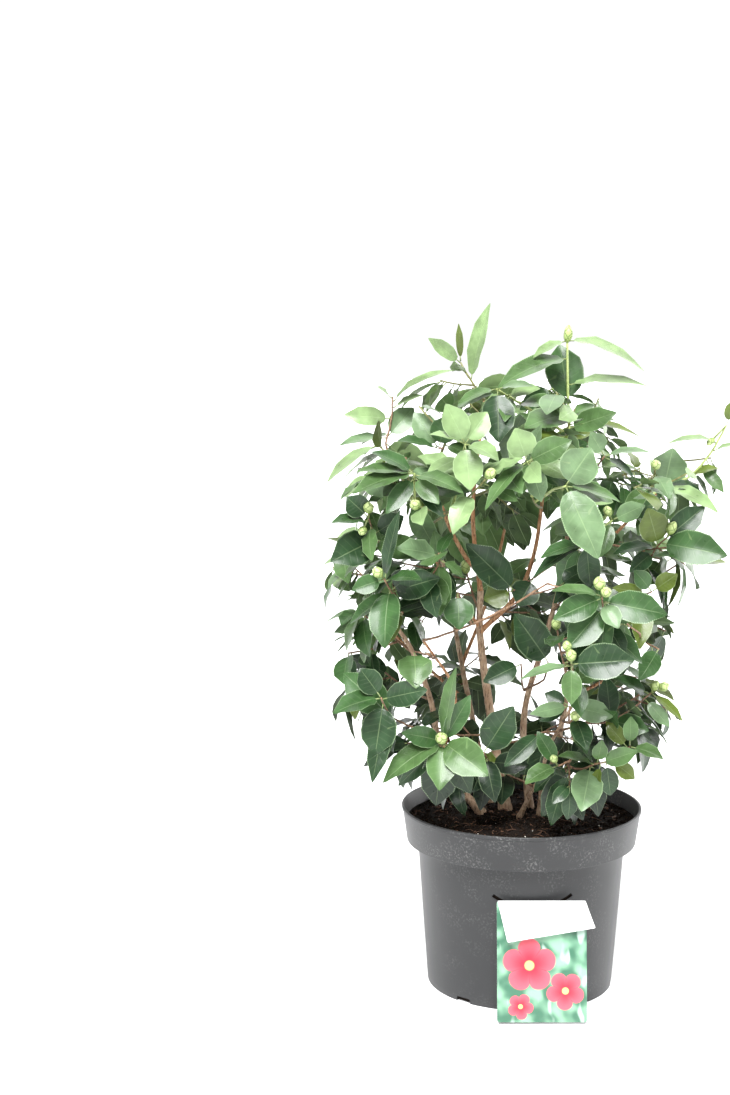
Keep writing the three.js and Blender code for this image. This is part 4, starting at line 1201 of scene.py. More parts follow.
@dataclass(frozen=True)
class CardPicture:
    """A generic picture for the card: plain five-petal blossoms over soft greens."""

    blossoms: tuple[Blossom, ...] = (
        Blossom(0.36, 0.47, 0.31, 0.3),
        Blossom(0.76, 0.26, 0.22, 1.0),
        Blossom(0.26, 0.13, 0.15, 0.8),
    )
    petal: Colour = (0.42, 0.012, 0.035)
    petal_light: Colour = (0.66, 0.085, 0.12)
    centre: Colour = (0.83, 0.6, 0.18)
    shape: float = 138.0 / 103.0

    def build(self) -> Material:
        """Makes the material.

        Returns:
            The material.
        """
        canvas = Canvas("card_picture")
        across, up = canvas.flat()
        colour = self._ground(canvas)
        for blossom in self.blossoms:
            colour = self._flower(canvas, colour, across, up, blossom)
        canvas.dress(Base_Color=colour, Roughness=0.3, Coat_Weight=0.3, Coat_Roughness=0.15)
        return canvas.material

    def _ground(self, canvas: Canvas) -> Wire:
        """Soft out-of-focus greens behind the blossoms.

        Args:
            canvas: The material's nodes.

        Returns:
            The colour.
        """
        uv = canvas.node("ShaderNodeUVMap", {"uv_map": UV_NAME})
        soft = canvas.speckle(5.0, 1.0, 0.4, uv, (1.0, 1.3, 1.0))
        glint = canvas.speckle(9.0, 1.0, 0.4, uv, (1.0, 0.5, 1.0)).rise(0.58, 0.72)
        ground = canvas.blend(soft.rise(0.38, 0.66), (0.035, 0.13, 0.075), (0.22, 0.42, 0.28))
        return canvas.blend(glint * 0.6, ground, (0.55, 0.7, 0.62))

    def _flower(self, canvas: Canvas, under: Wire, across: Wire, up: Wire,
                blossom: Blossom) -> Wire:
        """Lays one blossom over the colour that is there.

        Args:
            canvas: The material's nodes.
            under: The colour so far.
            across: The place across the card, from 0 to 1.
            up: The place up the card, from 0 to 1.
            blossom: The flower to lay.

        Returns:
            The colour with the flower on it.
        """
        x = across - blossom.across
        y = (up - blossom.up) * self.shape
        reach = (x * x + y * y) ** 0.5
        angle = canvas.node("ShaderNodeMath", {"operation": "ARCTAN2"}, {0: y, 1: x})
        lobe = ((angle + blossom.turn) * 2.5).sine().size() ** 0.5
        edge = blossom.radius * (0.62 + 0.38 * lobe)
        inside = 1.0 - (reach / edge).rise(0.94, 1.0)
        crease = 1.0 - lobe.rise(0.12, 0.4)
        tone = (reach / edge).rise(0.15, 1.0) * (1.0 - 0.6 * crease)
        petals = canvas.blend(tone, self.petal, self.petal_light)
        eye = 1.0 - (reach / blossom.radius).rise(0.14, 0.2)
        flower = canvas.blend(eye, petals, self.centre)
        return canvas.blend(inside, under, flower)


# Meshes

def meshed(name: str, shape: BMesh) -> Mesh:
    """A mesh of what a bmesh holds.

    Args:
        name: The mesh's name.
        shape: The bmesh, which is freed.

    Returns:
        The mesh.
    """
    mesh = bpy.data.meshes.new(name)
    shape.to_mesh(mesh)
    shape.free()
    return mesh


def pour(part: BMesh, whole: BMesh) -> None:
    """Adds a bmesh to a greater one.

    Args:
        part: What is added, which is freed.
        whole: What it joins.
    """
    mesh = meshed("part", part)
    whole.from_mesh(mesh)
    bpy.data.meshes.remove(mesh)


def applied(piece: Object) -> Mesh:
    """A piece's mesh with its modifiers, or its strands' thickness, applied."""
    graph = bpy.context.evaluated_depsgraph_get()
    return bpy.data.meshes.new_from_object(piece.evaluated_get(graph))


def picked(made: dict[str, Any], kind: type) -> list[Any]:
    """The faces, or the corners, among what an operator made."""
    return [item for item in made["geom"] if isinstance(item, kind)]


def crease(shape: BMesh, sharp_angle: float) -> None:
    """Shades a bmesh smooth but for its hard edges.

    Args:
        shape: The bmesh.
        sharp_angle: Edges that turn by more than this many degrees stay sharp.
    """
    limit = math.radians(sharp_angle)
    for face in shape.faces:
        face.smooth = True
    for edge in shape.edges:
        if len(edge.link_faces) == 2:
            edge.smooth = edge.calc_face_angle(0.0) < limit


def smooth_object(name: str, shape: BMesh, sharp_angle: float = 35.0) -> Object:
    """Turns a bmesh in millimetres into a smooth-shaded object in metres, sharp at its hard edges.

    Args:
        name: The piece's name.
        shape: The bmesh, which is freed.
        sharp_angle: Edges that turn by more than this many degrees stay sharp.

    Returns:
        The linked object.
    """
    bmesh.ops.scale(shape, vec=Vector((MM, MM, MM)), verts=shape.verts)
    crease(shape, sharp_angle)
    return linked(name, meshed(name, shape))


def publish(piece: Object, finishes: Iterable[Material],
            stands_for: Sequence[str] = ()) -> Object:
    """Dresses a piece, lets it ride on the pot's body and reports it.

    Args:
        piece: The finished object.
        finishes: Its materials, in order.
        stands_for: The CAD nodes that it replaces.

    Returns:
        The piece.
    """
    for finish in finishes:
        piece.data.materials.append(finish)
    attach(piece, BODY)
    if stands_for:
        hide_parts(*stands_for)
    log.info("%s: %d faces", piece.name, len(piece.data.polygons))
    return piece


def carve(piece: Object, cutters: Sequence[Object], sharp_angle: float) -> None:
    """Cuts the cutters out of a piece and removes them.

    Args:
        piece: The piece.
        cutters: What is cut out of it.
        sharp_angle: Edges that turn by more than this many degrees stay sharp.
    """
    for cutter in cutters:
        cut = piece.modifiers.new(cutter.name, "BOOLEAN")
        cut.operation = "DIFFERENCE"
        cut.solver = "EXACT"
        cut.object = cutter
    shape = bmesh.new()
    shape.from_mesh(applied(piece))
    piece.modifiers.clear()
    crease(shape, sharp_angle)
    piece.data = meshed(piece.name, shape)
    for cutter in cutters:
        bpy.data.objects.remove(cutter)


# The pot, its compost and its card

@dataclass
class Pot:
    """The nursery pot: a turned shell with drain notches and a slot for the card."""

    sizes: PotSizes
    steps: int = 144
    hard_angle: float = 40.0
    edge_radius: float = 0.7
    sharp_angle: float = 50.0
    notch_corner: float = 2.4

    def build(self) -> None:
        """Turns the shell, cuts it and dresses it."""
        shape = bmesh.new()
        turn_profile(shape, self._profile(), self.steps)
        limit = math.radians(self.hard_angle)
        hard = [edge for edge in shape.edges if edge.calc_face_angle(0.0) > limit]
        bmesh.ops.bevel(shape, geom=hard, offset=self.edge_radius, segments=2, profile=0.5,
                        affect="EDGES", material=-1, offset_type="OFFSET")
        pot = smooth_object("pot_shell", shape, self.sharp_angle)
        cutters = [self._notch(i) for i in range(self.sizes.notches)]
        carve(pot, [*cutters, self._slot()], self.sharp_angle)
        publish(pot, [PotPlastic().build()], ["pot"])

    def _profile(self) -> list[tuple[float, float]]:
        """Draws the shell's section, from the axis round the rim and back inside.

        Returns:
            Its points, as radius and height.
        """
        s = self.sizes
        lip = s.height - s.lip_height
        inner_neck = s.neck_radius - s.wall
        side = [(lerp(s.base_radius, s.neck_radius, z / s.shoulder_height), z)
                for z in s.wall_rings]
        return [
            (0.0, 0.0), (s.base_radius, 0.0), *side, (s.neck_radius, s.shoulder_height),
            (s.shoulder_radius, s.shoulder_height), (s.band_top_radius, lip), (s.rim_radius, lip),
            (s.rim_radius, s.height), (s.band_top_radius - s.wall, s.height),
            (s.shoulder_radius - s.wall, s.shoulder_height + s.wall),
            (inner_neck, s.shoulder_height + s.wall), (s.base_radius - s.wall, s.wall),
            (0.0, s.wall),
        ]

    def _notch(self, index: int) -> Object:
        """Makes a cutter for one drain notch, rounded at its top corners.

        Args:
            index: The notch's number.

        Returns:
            The cutter.
        """
        s = self.sizes
        shape = bmesh.new()
        bmesh.ops.create_cube(shape, size=1.0)
        bmesh.ops.scale(shape, vec=(s.notch_width, s.notch_inset * 2, s.notch_height * 2),
                        verts=shape.verts)
        sides = [e for e in shape.edges if abs(e.verts[0].co.y - e.verts[1].co.y) > 1.0]
        bmesh.ops.bevel(shape, geom=sides, offset=self.notch_corner, segments=3, profile=0.5,
                        affect="EDGES", material=-1)
        bmesh.ops.translate(shape, vec=(0.0, -s.base_radius, 0.0), verts=shape.verts)
        turn = Matrix.Rotation(math.radians(s.notch_heading + index * 360 / s.notches), 3, "Z")
        bmesh.ops.rotate(shape, cent=(0, 0, 0), matrix=turn, verts=shape.verts)
        return smooth_object(f"notch_cutter_{index}", shape)

    def _slot(self) -> Object:
        """Makes a cutter for the card's slot, a thin smile through the front wall.

        Returns:
            The cutter.
        """
        s = self.sizes
        radius = ((s.slot_width / 2) ** 2 + s.slot_sag ** 2) / (2 * s.slot_sag)
        half = math.asin(s.slot_width / 2 / radius)
        shape = bmesh.new()
        inner = radius - s.slot_gap / 2
        start = [
            shape.verts.new((reach * -math.sin(half), 0.0, reach * -math.cos(half)))
            for reach in (inner, inner + s.slot_gap)
        ]
        edge = shape.edges.new(start)
        bmesh.ops.spin(shape, geom=[*start, edge], cent=(0, 0, 0), axis=(0, 1, 0),
                       dvec=(0, 0, 0), angle=-2 * half, steps=24, use_duplicate=False)
        front = bmesh.ops.extrude_face_region(shape, geom=shape.faces[:])
        bmesh.ops.translate(shape, vec=(0.0, -s.slot_cut, 0.0), verts=picked(front, BMVert))
        place = (s.slot_offset, s.slot_inside - s.neck_radius, s.slot_height + radius)
        bmesh.ops.translate(shape, vec=place, verts=shape.verts)
        bmesh.ops.recalc_face_normals(shape, faces=shape.faces)
        return smooth_object("slot_cutter", shape)


@dataclass
class Soil:
    """The compost: a turned body with a lumpy top, loose crumbs, bark chips, fibres and grit."""

    sizes: SoilSizes
    pot: PotSizes
    seed: int = 505
    steps: int = 120
    ring_gap: float = 2.4
    crumbs: int = 2600
    chips: int = 130
    grits: int = 30
    fibres: int = 120
    relief: tuple[tuple[float, float, float], ...] = ((2.6, 3.0, 0.045), (1.5, 9.0, 0.16))
    relief_fade: float = 4.0
    lump_relief: float = 0.45
    lump_waves: float = 1.7
    lump_margin: float = 4.0
    lump_bias: float = 2.2
    lump_tilt: float = 0.7
    lump_narrow: tuple[float, float] = (0.5, 0.9)
    lump_raised: float = 0.22
    fibre_margin: float = 14.0
    fibre_bend: float = 0.5
    fibre_step: tuple[float, float] = (1.6, 4.4)
    fibre_rise: tuple[float, ...] = (1.1, 1.1, 2.0, 2.0, 1.1, 1.1)
    fibre_edge: float = 3.0
    fibre_radius: tuple[float, float] = (0.25, 0.6)
    fibre_foot: float = 0.5

    def __post_init__(self) -> None:
        """Works out the compost's edge against the wall."""
        sizes, pot = self.sizes, self.pot
        inset = pot.wall + CLEARANCE
        self.shoulder = (pot.shoulder_radius - inset, pot.shoulder_height + inset)
        slope = (pot.band_top_radius - pot.shoulder_radius) / (
            pot.height - pot.lip_height - self.shoulder[1])
        self.edge_height = sizes.height - sizes.edge_drop
        self.edge_radius = self.shoulder[0] + slope * (self.edge_height - self.shoulder[1])
        self.lower = [(0.0, inset), (pot.base_radius - inset, inset),
                      (pot.neck_radius - inset, self.shoulder[1]), self.shoulder]
        self.random = Seeded(self.seed)

    def build(self) -> None:
        """Makes the body, then all that lies loose on it."""
        self._body()
        earth = Compost("compost_crumb", (0.006, 0.0038, 0.0025), (0.052, 0.025, 0.012)).build()
        chip = Bark("bark_chip", (0.02, 0.009, 0.005), (0.07, 0.03, 0.015),
                    (0.15, 0.07, 0.035)).build()
        grit = Compost("white_grit", (0.45, 0.42, 0.37), (0.8, 0.78, 0.73)).build()
        self._scatter("compost_crumbs", self.crumbs, size=(0.9, 3.4), flat=(0.6, 1.0),
                      finish=earth)
        self._scatter("bark_chips", self.chips, size=(2.0, 5.2), flat=(0.22, 0.45), finish=chip)
        self._scatter("white_grits", self.grits, size=(0.7, 1.7), flat=(0.7, 1.0), finish=grit)
        self._fibres(chip)

    def top(self, x: float, y: float) -> float:
        """Finds the compost's lumpy top.

        Args:
            x: A point's place across.
            y: Its place from front to back.

        Returns:
            The height of the top there.
        """
        reach, flat = math.hypot(x, y), self.sizes.flat_radius
        share = max(0.0, reach - flat) / (self.edge_radius - flat)
        lumps = sum(height * noise.noise(Vector((x, y, layer)) * waves)
                    for height, layer, waves in self.relief)
        fade = min(1.0, max(0.0, (self.edge_radius - reach) / self.relief_fade))
        return self.sizes.height - self.sizes.edge_drop * share + lumps * fade

    def _body(self) -> None:
        """The turned body."""
        shape = bmesh.new()
        rings = int(self.edge_radius / self.ring_gap)
        top = [(self.edge_radius * (1 - i / rings), self.edge_height) for i in range(rings + 1)]
        turn_profile(shape, [*self.lower, *top], self.steps)
        for vert in shape.verts:
            if vert.co.z > self.edge_height - CLEARANCE:
                vert.co.z = self.top(vert.co.x, vert.co.y)
        body = smooth_object("compost_body", shape, sharp_angle=60.0)
        finish = Compost("compost", (0.004, 0.0026, 0.0018), (0.03, 0.0145, 0.0075)).build()
        publish(body, [finish], ["soil"])

    def _spot(self, margin: float) -> tuple[float, float]:
        """Draws a place on the top, evenly.

        Args:
            margin: How far it keeps from the compost's edge.

        Returns:
            Its x and y.
        """
        reach = (self.edge_radius - margin) * math.sqrt(self.random.next())
        angle = self.random.between((0.0, math.tau))
        return reach * math.cos(angle), reach * math.sin(angle)

    def _scatter(self, name: str, count: int, size: tuple[float, float],
                 flat: tuple[float, float], finish: Material) -> None:
        """Lays loose lumps over the top.

        Args:
            name: The piece's name.
            count: How many lumps.
            size: Their least and greatest half-length.
            flat: Their thickness as a share of that.
            finish: Their material.
        """
        shape = bmesh.new()
        bmesh.ops.create_icosphere(shape, subdivisions=1, radius=1.0)
        for vert in shape.verts:
            vert.co *= 1.0 + self.lump_relief * noise.noise(vert.co * self.lump_waves)
        flock = Flock(shape)
        for _ in range(count):
            x, y = self._spot(self.lump_margin)
            half = lerp(*size, self.random.next() ** self.lump_bias)
            turn = Matrix.Rotation(self.random.between((0.0, math.tau)), 3, "Z")
            tip = Matrix.Rotation(self.random.around(self.lump_tilt), 3, "X")
            grow = Matrix.Diagonal((half, half * self.random.between(self.lump_narrow),
                                    half * self.random.between(flat)))
            matrix = np.array(turn @ tip @ grow)
            place = vec(x, y, self.top(x, y) + half * self.lump_raised)
            flock.add(flock.points @ matrix.T + place)
        publish(flock.build(name), [finish])

    def _fibres(self, finish: Material) -> None:
        """Lays thin bent fibres over the top.

        Args:
            finish: Their material.
        """
        bundle = Bundle("compost_fibres", 4, finish)
        for _ in range(self.fibres):
            x, y = self._spot(self.fibre_margin)
            heading = self.random.between((0.0, math.tau))
            bend = self.random.around(self.fibre_bend)
            step = self.random.between(self.fibre_step)
            points = []
            for i, rise in enumerate(self.fibre_rise):
                points.append(vec(x, y, self.top(x, y) + rise))
                x += step * math.cos(heading + bend * i)
                y += step * math.sin(heading + bend * i)
                if math.hypot(x, y) > self.edge_radius - self.fibre_edge:
                    break
            if len(points) > 2:
                radius = self.random.between(self.fibre_radius)
                radii = [radius * self.fibre_foot, *[radius] * (len(points) - 1)]
                bundle.add(points, radii)
        publish(bundle.build(), [])


def turn_profile(shape: BMesh, section: Sequence[tuple[float, float]],
                 steps: int) -> None:
    """Turns a section round the upright axis into a closed skin.

    Args:
        shape: The bmesh that takes the skin.
        section: The section's points, as radius and height.
        steps: How many steps a full turn has.
    """
    corners = [shape.verts.new((radius, 0.0, height)) for radius, height in section]
    for low, high in zip(corners, corners[1:]):
        shape.edges.new((low, high))
    bmesh.ops.spin(shape, geom=shape.verts[:] + shape.edges[:], cent=(0, 0, 0), axis=(0, 0, 1),
                   dvec=(0, 0, 0), angle=math.tau, steps=steps, use_merge=True,
                   use_duplicate=False)
    bmesh.ops.remove_doubles(shape, verts=shape.verts, dist=0.01)
    bmesh.ops.recalc_face_normals(shape, faces=shape.faces)


@dataclass
class Card:
    """The picture card: a leaning sheet, a bare flap folded over its top, and a tongue."""

    sizes: CardSizes
    pot: PotSizes
    bow: float = 1.6
    bends: int = 7
    flap_corner: float = 1.2
    flap_bow: float = -1.0
    flap_seat: tuple[float, float] = (0.4, 0.2)
    tongue_edge: float = 0.15
    tongue_past: float = 0.6

    def build(self) -> None:
        """Joins the sheet, the flap and the tongue into one piece."""
        s = self.sizes
        lean = math.radians(s.lean)
        whole = bmesh.new()
        whole.loops.layers.uv.new(UV_NAME)
        sheet = self._sheet(s.width, s.length, s.corner, self.bow)
        self._join(whole, sheet, Matrix.Rotation(-lean, 4, "X"))
        flap = self._sheet(s.flap_width, s.flap_length, self.flap_corner, self.flap_bow,
                           picture=False)
        for vert in flap.verts:
            x, z = vert.co.x, vert.co.z
            vert.co.x = x - s.flap_skew * z
            vert.co.z = z * (1.0 - s.flap_taper * x / (s.flap_width / 2))
        turn = Matrix.Rotation(-lean - math.radians(s.flap_angle), 4, "X")
        front, up = self.flap_seat
        down = Matrix.Translation((0.0, -s.thickness * front, s.thickness * up))
        self._join(whole, flap, turn @ down)
        self._join(whole, self._tongue(), Matrix.Identity(4))
        place = Vector((s.offset, -s.top_depth, s.top_height))
        bmesh.ops.translate(whole, vec=place, verts=whole.verts)
        card = smooth_object("picture_card", whole, sharp_angle=30.0)
        publish(card, [CardStock().build(), CardPicture().build()], ["card"])

    def _join(self, whole: BMesh, part: BMesh, move: Matrix) -> None:
        """Moves a part and adds it to the whole."""
        bmesh.ops.transform(part, matrix=move, verts=part.verts)
        pour(part, whole)

    def _sheet(self, width: float, length: float, corner: float, bow: float,
               picture: bool = True) -> BMesh:
        """A thin sheet that hangs from its top edge, with rounded corners and a slight bow.

        Args:
            width: Its width.
            length: Its length down from the top edge.
            corner: The radius of its corners.
            bow: How far its middle stands out at the front.
            picture: Whether its front takes the picture.

        Returns:
            The sheet, upright with its front towards -Y.
        """
        shape = bmesh.new()
        bmesh.ops.create_grid(shape, x_segments=1, y_segments=1, size=0.5)
        bmesh.ops.scale(shape, vec=(width, length, 1.0), verts=shape.verts)
        bmesh.ops.bevel(shape, geom=shape.verts[:], offset=corner, segments=5, profile=0.5,
                        affect="VERTICES", material=-1)
        turn = Matrix.Rotation(math.pi / 2, 3, "X")
        bmesh.ops.rotate(shape, cent=(0, 0, 0), matrix=turn, verts=shape.verts)
        bmesh.ops.translate(shape, vec=(0.0, 0.0, -length / 2), verts=shape.verts)
        for i in range(1, self.bends):
            cut = (0.0, 0.0, -length * i / self.bends)
            bmesh.ops.bisect_plane(shape, geom=shape.verts[:] + shape.edges[:] + shape.faces[:],
                                   plane_co=cut, plane_no=(0.0, 0.0, 1.0))
        lay = shape.loops.layers.uv.new(UV_NAME)
        for face in shape.faces:
            for loop in face.loops:
                co = loop.vert.co
                loop[lay].uv = (co.x / width + 0.5, co.z / length + 1.0)
        made = bmesh.ops.extrude_face_region(shape, geom=shape.faces[:])
        bmesh.ops.translate(shape, vec=(0.0, -self.sizes.thickness, 0.0),
                            verts=picked(made, BMVert))
        for face in picked(made, BMFace):
            face.material_index = int(picture)
        for vert in shape.verts:
            share = -vert.co.z / length
            vert.co.y -= 4.0 * bow * share * (1.0 - share)
        bmesh.ops.recalc_face_normals(shape, faces=shape.faces)
        return shape

    def _tongue(self) -> BMesh:
        """Makes the strip that goes back from the sheet through the pot's slot.

        Returns:
            The strip.
        """
        s, pot = self.sizes, self.pot
        drop = s.top_height - pot.slot_height - s.tongue_rise
        root = -drop * math.tan(math.radians(s.lean)) - s.thickness / 2
        wall = lerp(pot.base_radius, pot.neck_radius, pot.slot_height / pot.shoulder_height)
        end = s.top_depth - wall + pot.wall - self.tongue_past
        shape = bmesh.new()
        shape.loops.layers.uv.new(UV_NAME)
        bmesh.ops.create_cube(shape, size=1.0)
        bmesh.ops.scale(shape, vec=(s.tongue_width, end - root, s.thickness), verts=shape.verts)
        bmesh.ops.bevel(shape, geom=shape.edges[:], offset=self.tongue_edge, segments=1,
                        profile=0.5, affect="EDGES", material=-1)
        bmesh.ops.translate(shape, vec=(pot.slot_offset - s.offset, (end + root) / 2, -drop),
                            verts=shape.verts)
        return shape


# Joined pieces of many small parts

class Flock:
    """Copies of one small mesh with their own points, joined from arrays into one piece."""

    def __init__(self, shape: BMesh) -> None:
        """Reads the small mesh and its creases where materials meet.

        Args:
            shape: The small mesh, which is freed.
        """
        for face in shape.faces:
            face.smooth = True
        mesh = meshed("pattern", shape)
        self.points = self._read(mesh.vertices, "co", 3, np.float32).astype(float)
        self.edges = self._read(mesh.edges, "vertices", 2, np.int32)
        self.corners = self._read(mesh.loops, "vertex_index", 1, np.int32).ravel()
        self.corner_edges = self._read(mesh.loops, "edge_index", 1, np.int32).ravel()
        self.starts = self._read(mesh.polygons, "loop_start", 1, np.int32).ravel()
        self.looks = self._read(mesh.polygons, "material_index", 1, np.int32).ravel()
        self.creases = self._read(mesh.edges, "use_edge_sharp", 1, bool).ravel()
        self.lay = None
        if mesh.uv_layers:
            self.lay = self._read(mesh.uv_layers[0].data, "uv", 2, np.float32)
        bpy.data.meshes.remove(mesh)
        self.copies: list[Array] = []
        self.finishes: list[int] = []

    def _read(self, items: Any, name: str, width: int, kind: type) -> Array:
        """Reads one property of all items.

        Args:
            items: The items.
            name: The property.
            width: How many numbers an item has.
            kind: Their type.

        Returns:
            An array with a row for each item.
        """
        values = np.empty(len(items) * width, kind)
        items.foreach_get(name, values)
        return values.reshape(-1, width)

    def add(self, points: Array, finish: int = 0) -> None:
        """Adds a copy whose points are given, with its materials from number finish on."""
        self.copies.append(points)
        self.finishes.append(finish)

    def build(self, name: str) -> Object:
        """Joins the copies into one object.

        Args:
            name: The object's name.

        Returns:
            The object.
        """
        count, corners = len(self.copies), len(self.points)
        shift = np.arange(count)[:, None]
        mesh = bpy.data.meshes.new(name)
        # Rows of the items, how many of them a copy adds, the property and its values
        for items, each, label, values in (
            (mesh.vertices, corners, "co", np.stack(self.copies) * MM),
            (mesh.edges, len(self.edges), "vertices", self.edges.ravel() + shift * corners),
            (mesh.loops, len(self.corners), "vertex_index", self.corners + shift * corners),
            (mesh.loops, 0, "edge_index", self.corner_edges + shift * len(self.edges)),
            (mesh.polygons, len(self.starts), "loop_start",
             self.starts + shift * len(self.corners)),
            (mesh.polygons, 0, "material_index", self.looks + np.array(self.finishes)[:, None]),
        ):
            items.add(count * each)
            kind = np.float32 if label == "co" else np.int32
            items.foreach_set(label, values.astype(kind).ravel())
        crease_marks = mesh.attributes.new("sharp_edge", "BOOLEAN", "EDGE")
        crease_marks.data.foreach_set("value", np.tile(self.creases, count))
        if self.lay is not None:
            layer = mesh.uv_layers.new(name=UV_NAME)
            layer.data.foreach_set("uv", np.tile(self.lay, (count, 1)).ravel())
        mesh.update()
        mesh.validate()
        return linked(name, mesh)


class Bundle:
    """Thin round strands along their points, joined into one piece."""

    def __init__(self, name: str, sides: int, *finishes: Material) -> None:
        """Starts a bundle.

        Args:
            name: The piece's name.
            sides: How many sides a strand has, 4 or 6.
            finishes: The materials, in order.
        """
        self.name = name
        self.curve = bpy.data.curves.new(name, "CURVE")
        for finish in finishes:
            self.curve.materials.append(finish)
        self.curve.dimensions = "3D"
        self.curve.bevel_depth = MM
        self.curve.bevel_resolution = (sides - 4) // 2
        self.curve.use_fill_caps = True

    def add(self, points: Sequence[Array], radii: Sequence[float], look: int = 0) -> None:
        """Adds one strand.

        Args:
            points: Its centre line.
            radii: Its radius at each point.
            look: The number of its material.
        """
        strand = self.curve.splines.new("POLY")
        strand.points.add(len(points) - 1)
        flat = np.ones((len(points), 4), np.float32)
        flat[:, :3] = np.array(points) * MM
        strand.points.foreach_set("co", flat.ravel())
        strand.points.foreach_set("radius", np.array(radii, np.float32))
        strand.material_index = look
        strand.use_smooth = True

    def build(self) -> Object:
        """Closes the strands' skins and joins them.

        Returns:
            The object.
        """
        holder = linked(self.name + "_line", self.curve)
        mesh = applied(holder)
        bpy.data.objects.remove(holder)
        shape = bmesh.new()
        shape.from_mesh(mesh)
        bmesh.ops.remove_doubles(shape, verts=shape.verts, dist=1e-6)
        bmesh.ops.recalc_face_normals(shape, faces=shape.faces)
        for face in shape.faces:
            face.smooth = len(face.verts) < 5 and face.smooth
        shape.to_mesh(mesh)
        shape.free()
        mesh.name = self.name
        return linked(self.name, mesh)


# Growth, by the same rule as the solids

class Seeded:
    """Random numbers that are the same each time."""

    modulus = 2147483647
    multiplier = 16807
    seed_factor = 48271
    seed_shift = 11

    def __init__(self, seed: int) -> None:
        """Starts from a seed."""
        self.state = (seed * self.seed_factor + self.seed_shift) % self.modulus
        self.next()

    def next(self) -> float:
        """The next number, from 0 to 1."""
        self.state = self.state * self.multiplier % self.modulus
        return self.state / self.modulus

    def between(self, span: Sequence[float]) -> float:
        """A number between the span's two."""
        return span[0] + (span[1] - span[0]) * self.next()

    def around(self, spread: float) -> float:
        """A number from -spread to spread."""
        return spread * (2 * self.next() - 1)


class Route:
    """A line through space with a table of its lengths."""

    marks = np.linspace(0.0, 1.0, 201)

    def __init__(self) -> None:
        """Measures the line."""
        steps = np.linalg.norm(np.diff(self.points(self.marks), axis=0), axis=1)
        self.table = np.concatenate(([0.0], np.cumsum(steps)))
        self.length = float(self.table[-1])

    def points(self, t: Array) -> Array:
        """The line's points at its own marks t."""
        raise NotImplementedError

    def spread(self, along: Array) -> Array:
        """The points at shares of the line's length."""
        return self.points(np.interp(along * self.length, self.table, self.marks))

    def at(self, along: float) -> Array:
        """The point at a share of the line's length."""
        return self.spread(np.array([along]))[0]

    def way(self, along: float) -> Array:
        """Finds the line's direction.

        Args:
            along: The share of its length.

        Returns:
            The direction there.
        """
        mark = float(np.interp(along * self.length, self.table, self.marks))
        ends = self.points(np.clip(np.array([mark - 1e-4, mark + 1e-4]), 0.0, 1.0))
        return unit(ends[1] - ends[0])


class Spline(Route):
    """A centripetal spline through points."""

    def __init__(self, through: Sequence[Array]) -> None:
        """Works out a cubic for each stretch between two points.

        Args:
            through: The points.
        """
        p = np.array([2 * through[0] - through[1], *through, 2 * through[-1] - through[-2]])
        pieces = []
        for a, b, c, d in zip(p, p[1:], p[2:], p[3:]):
            gaps = [float(np.sum((q - r) ** 2)) ** 0.25 for q, r in ((a, b), (b, c), (c, d))]
            first = (b - a) / gaps[0] - (c - a) / (gaps[0] + gaps[1]) + (c - b) / gaps[1]
            last = (c - b) / gaps[1] - (d - b) / (gaps[1] + gaps[2]) + (d - c) / gaps[2]
            first, last = first * gaps[1], last * gaps[1]
            pieces.append((b, first, -3 * b + 3 * c - 2 * first - last,
                           2 * b - 2 * c + first + last))
        self.pieces = np.array(pieces)
        super().__init__()

    def points(self, t: Array) -> Array:
        """Finds points of the spline.

        Args:
            t: Their marks, from 0 to 1.

        Returns:
            A row for each point.
        """
        scaled = t * len(self.pieces)
        stretch = np.minimum(scaled.astype(int), len(self.pieces) - 1)
        weight = (scaled - stretch)[:, None]
        c0, c1, c2, c3 = (self.pieces[stretch, i] for i in range(4))
        return c0 + weight * (c1 + weight * (c2 + weight * c3))


class Sagging(Route):
    """A line from start to end whose middle hangs down."""

    def __init__(self, start: Array, end: Array, sag: float) -> None:
        """Sets the middle lower by the share sag of the distance."""
        self.ends = (start, lerp(start, end, 0.5) - UP * sag * np.linalg.norm(end - start), end)
        super().__init__()

    def points(self, t: Array) -> Array:
        """Finds points of the line.

        Args:
            t: Their marks, from 0 to 1.

        Returns:
            A row for each point.
        """
        share = t[:, None]
        start, middle, end = self.ends
        return (1 - share) ** 2 * start + 2 * (1 - share) * share * middle + share ** 2 * end


@dataclass(frozen=True)
class Balls:
    """Balls strung along limbs, for testing what comes near."""

    centres: Array
    radii: Array

    def near(self, place: Array, reach: float) -> "Balls":
        """Those whose skin comes within reach of a place."""
        keep = np.linalg.norm(self.centres - place, axis=1) <= reach + self.radii
        return Balls(self.centres[keep], self.radii[keep])

    def beyond(self, place: Array, reach: float, skin: bool = True) -> "Balls":
        """Picks the balls that are far from a place.

        Args:
            place: The place.
            reach: How far they are at least.
            skin: Whether that goes for the skin or for the centre.

        Returns:
            Those balls.
        """
        gap = np.linalg.norm(self.centres - place, axis=1)
        keep = gap >= reach + (self.radii if skin else 0.0)
        return Balls(self.centres[keep], self.radii[keep])

    def room(self, points: Array) -> float:
        """Measures the least gap between the balls' skins and some points.

        Args:
            points: The points.

        Returns:
            The gap, endless without balls.
        """
        if not len(self.radii):
            return math.inf
        gaps = np.linalg.norm(points[:, None] - self.centres[None], axis=2) - self.radii
        return float(gaps.min())


def together(groups: Iterable[Balls]) -> Balls:
    """All the balls of some groups.

    Args:
        groups: The groups.

    Returns:
        One group of them all.
    """
    listed = [Balls(np.zeros((0, 3)), np.zeros(0)), *groups]
    return Balls(np.concatenate([g.centres for g in listed]),
                 np.concatenate([g.radii for g in listed]))


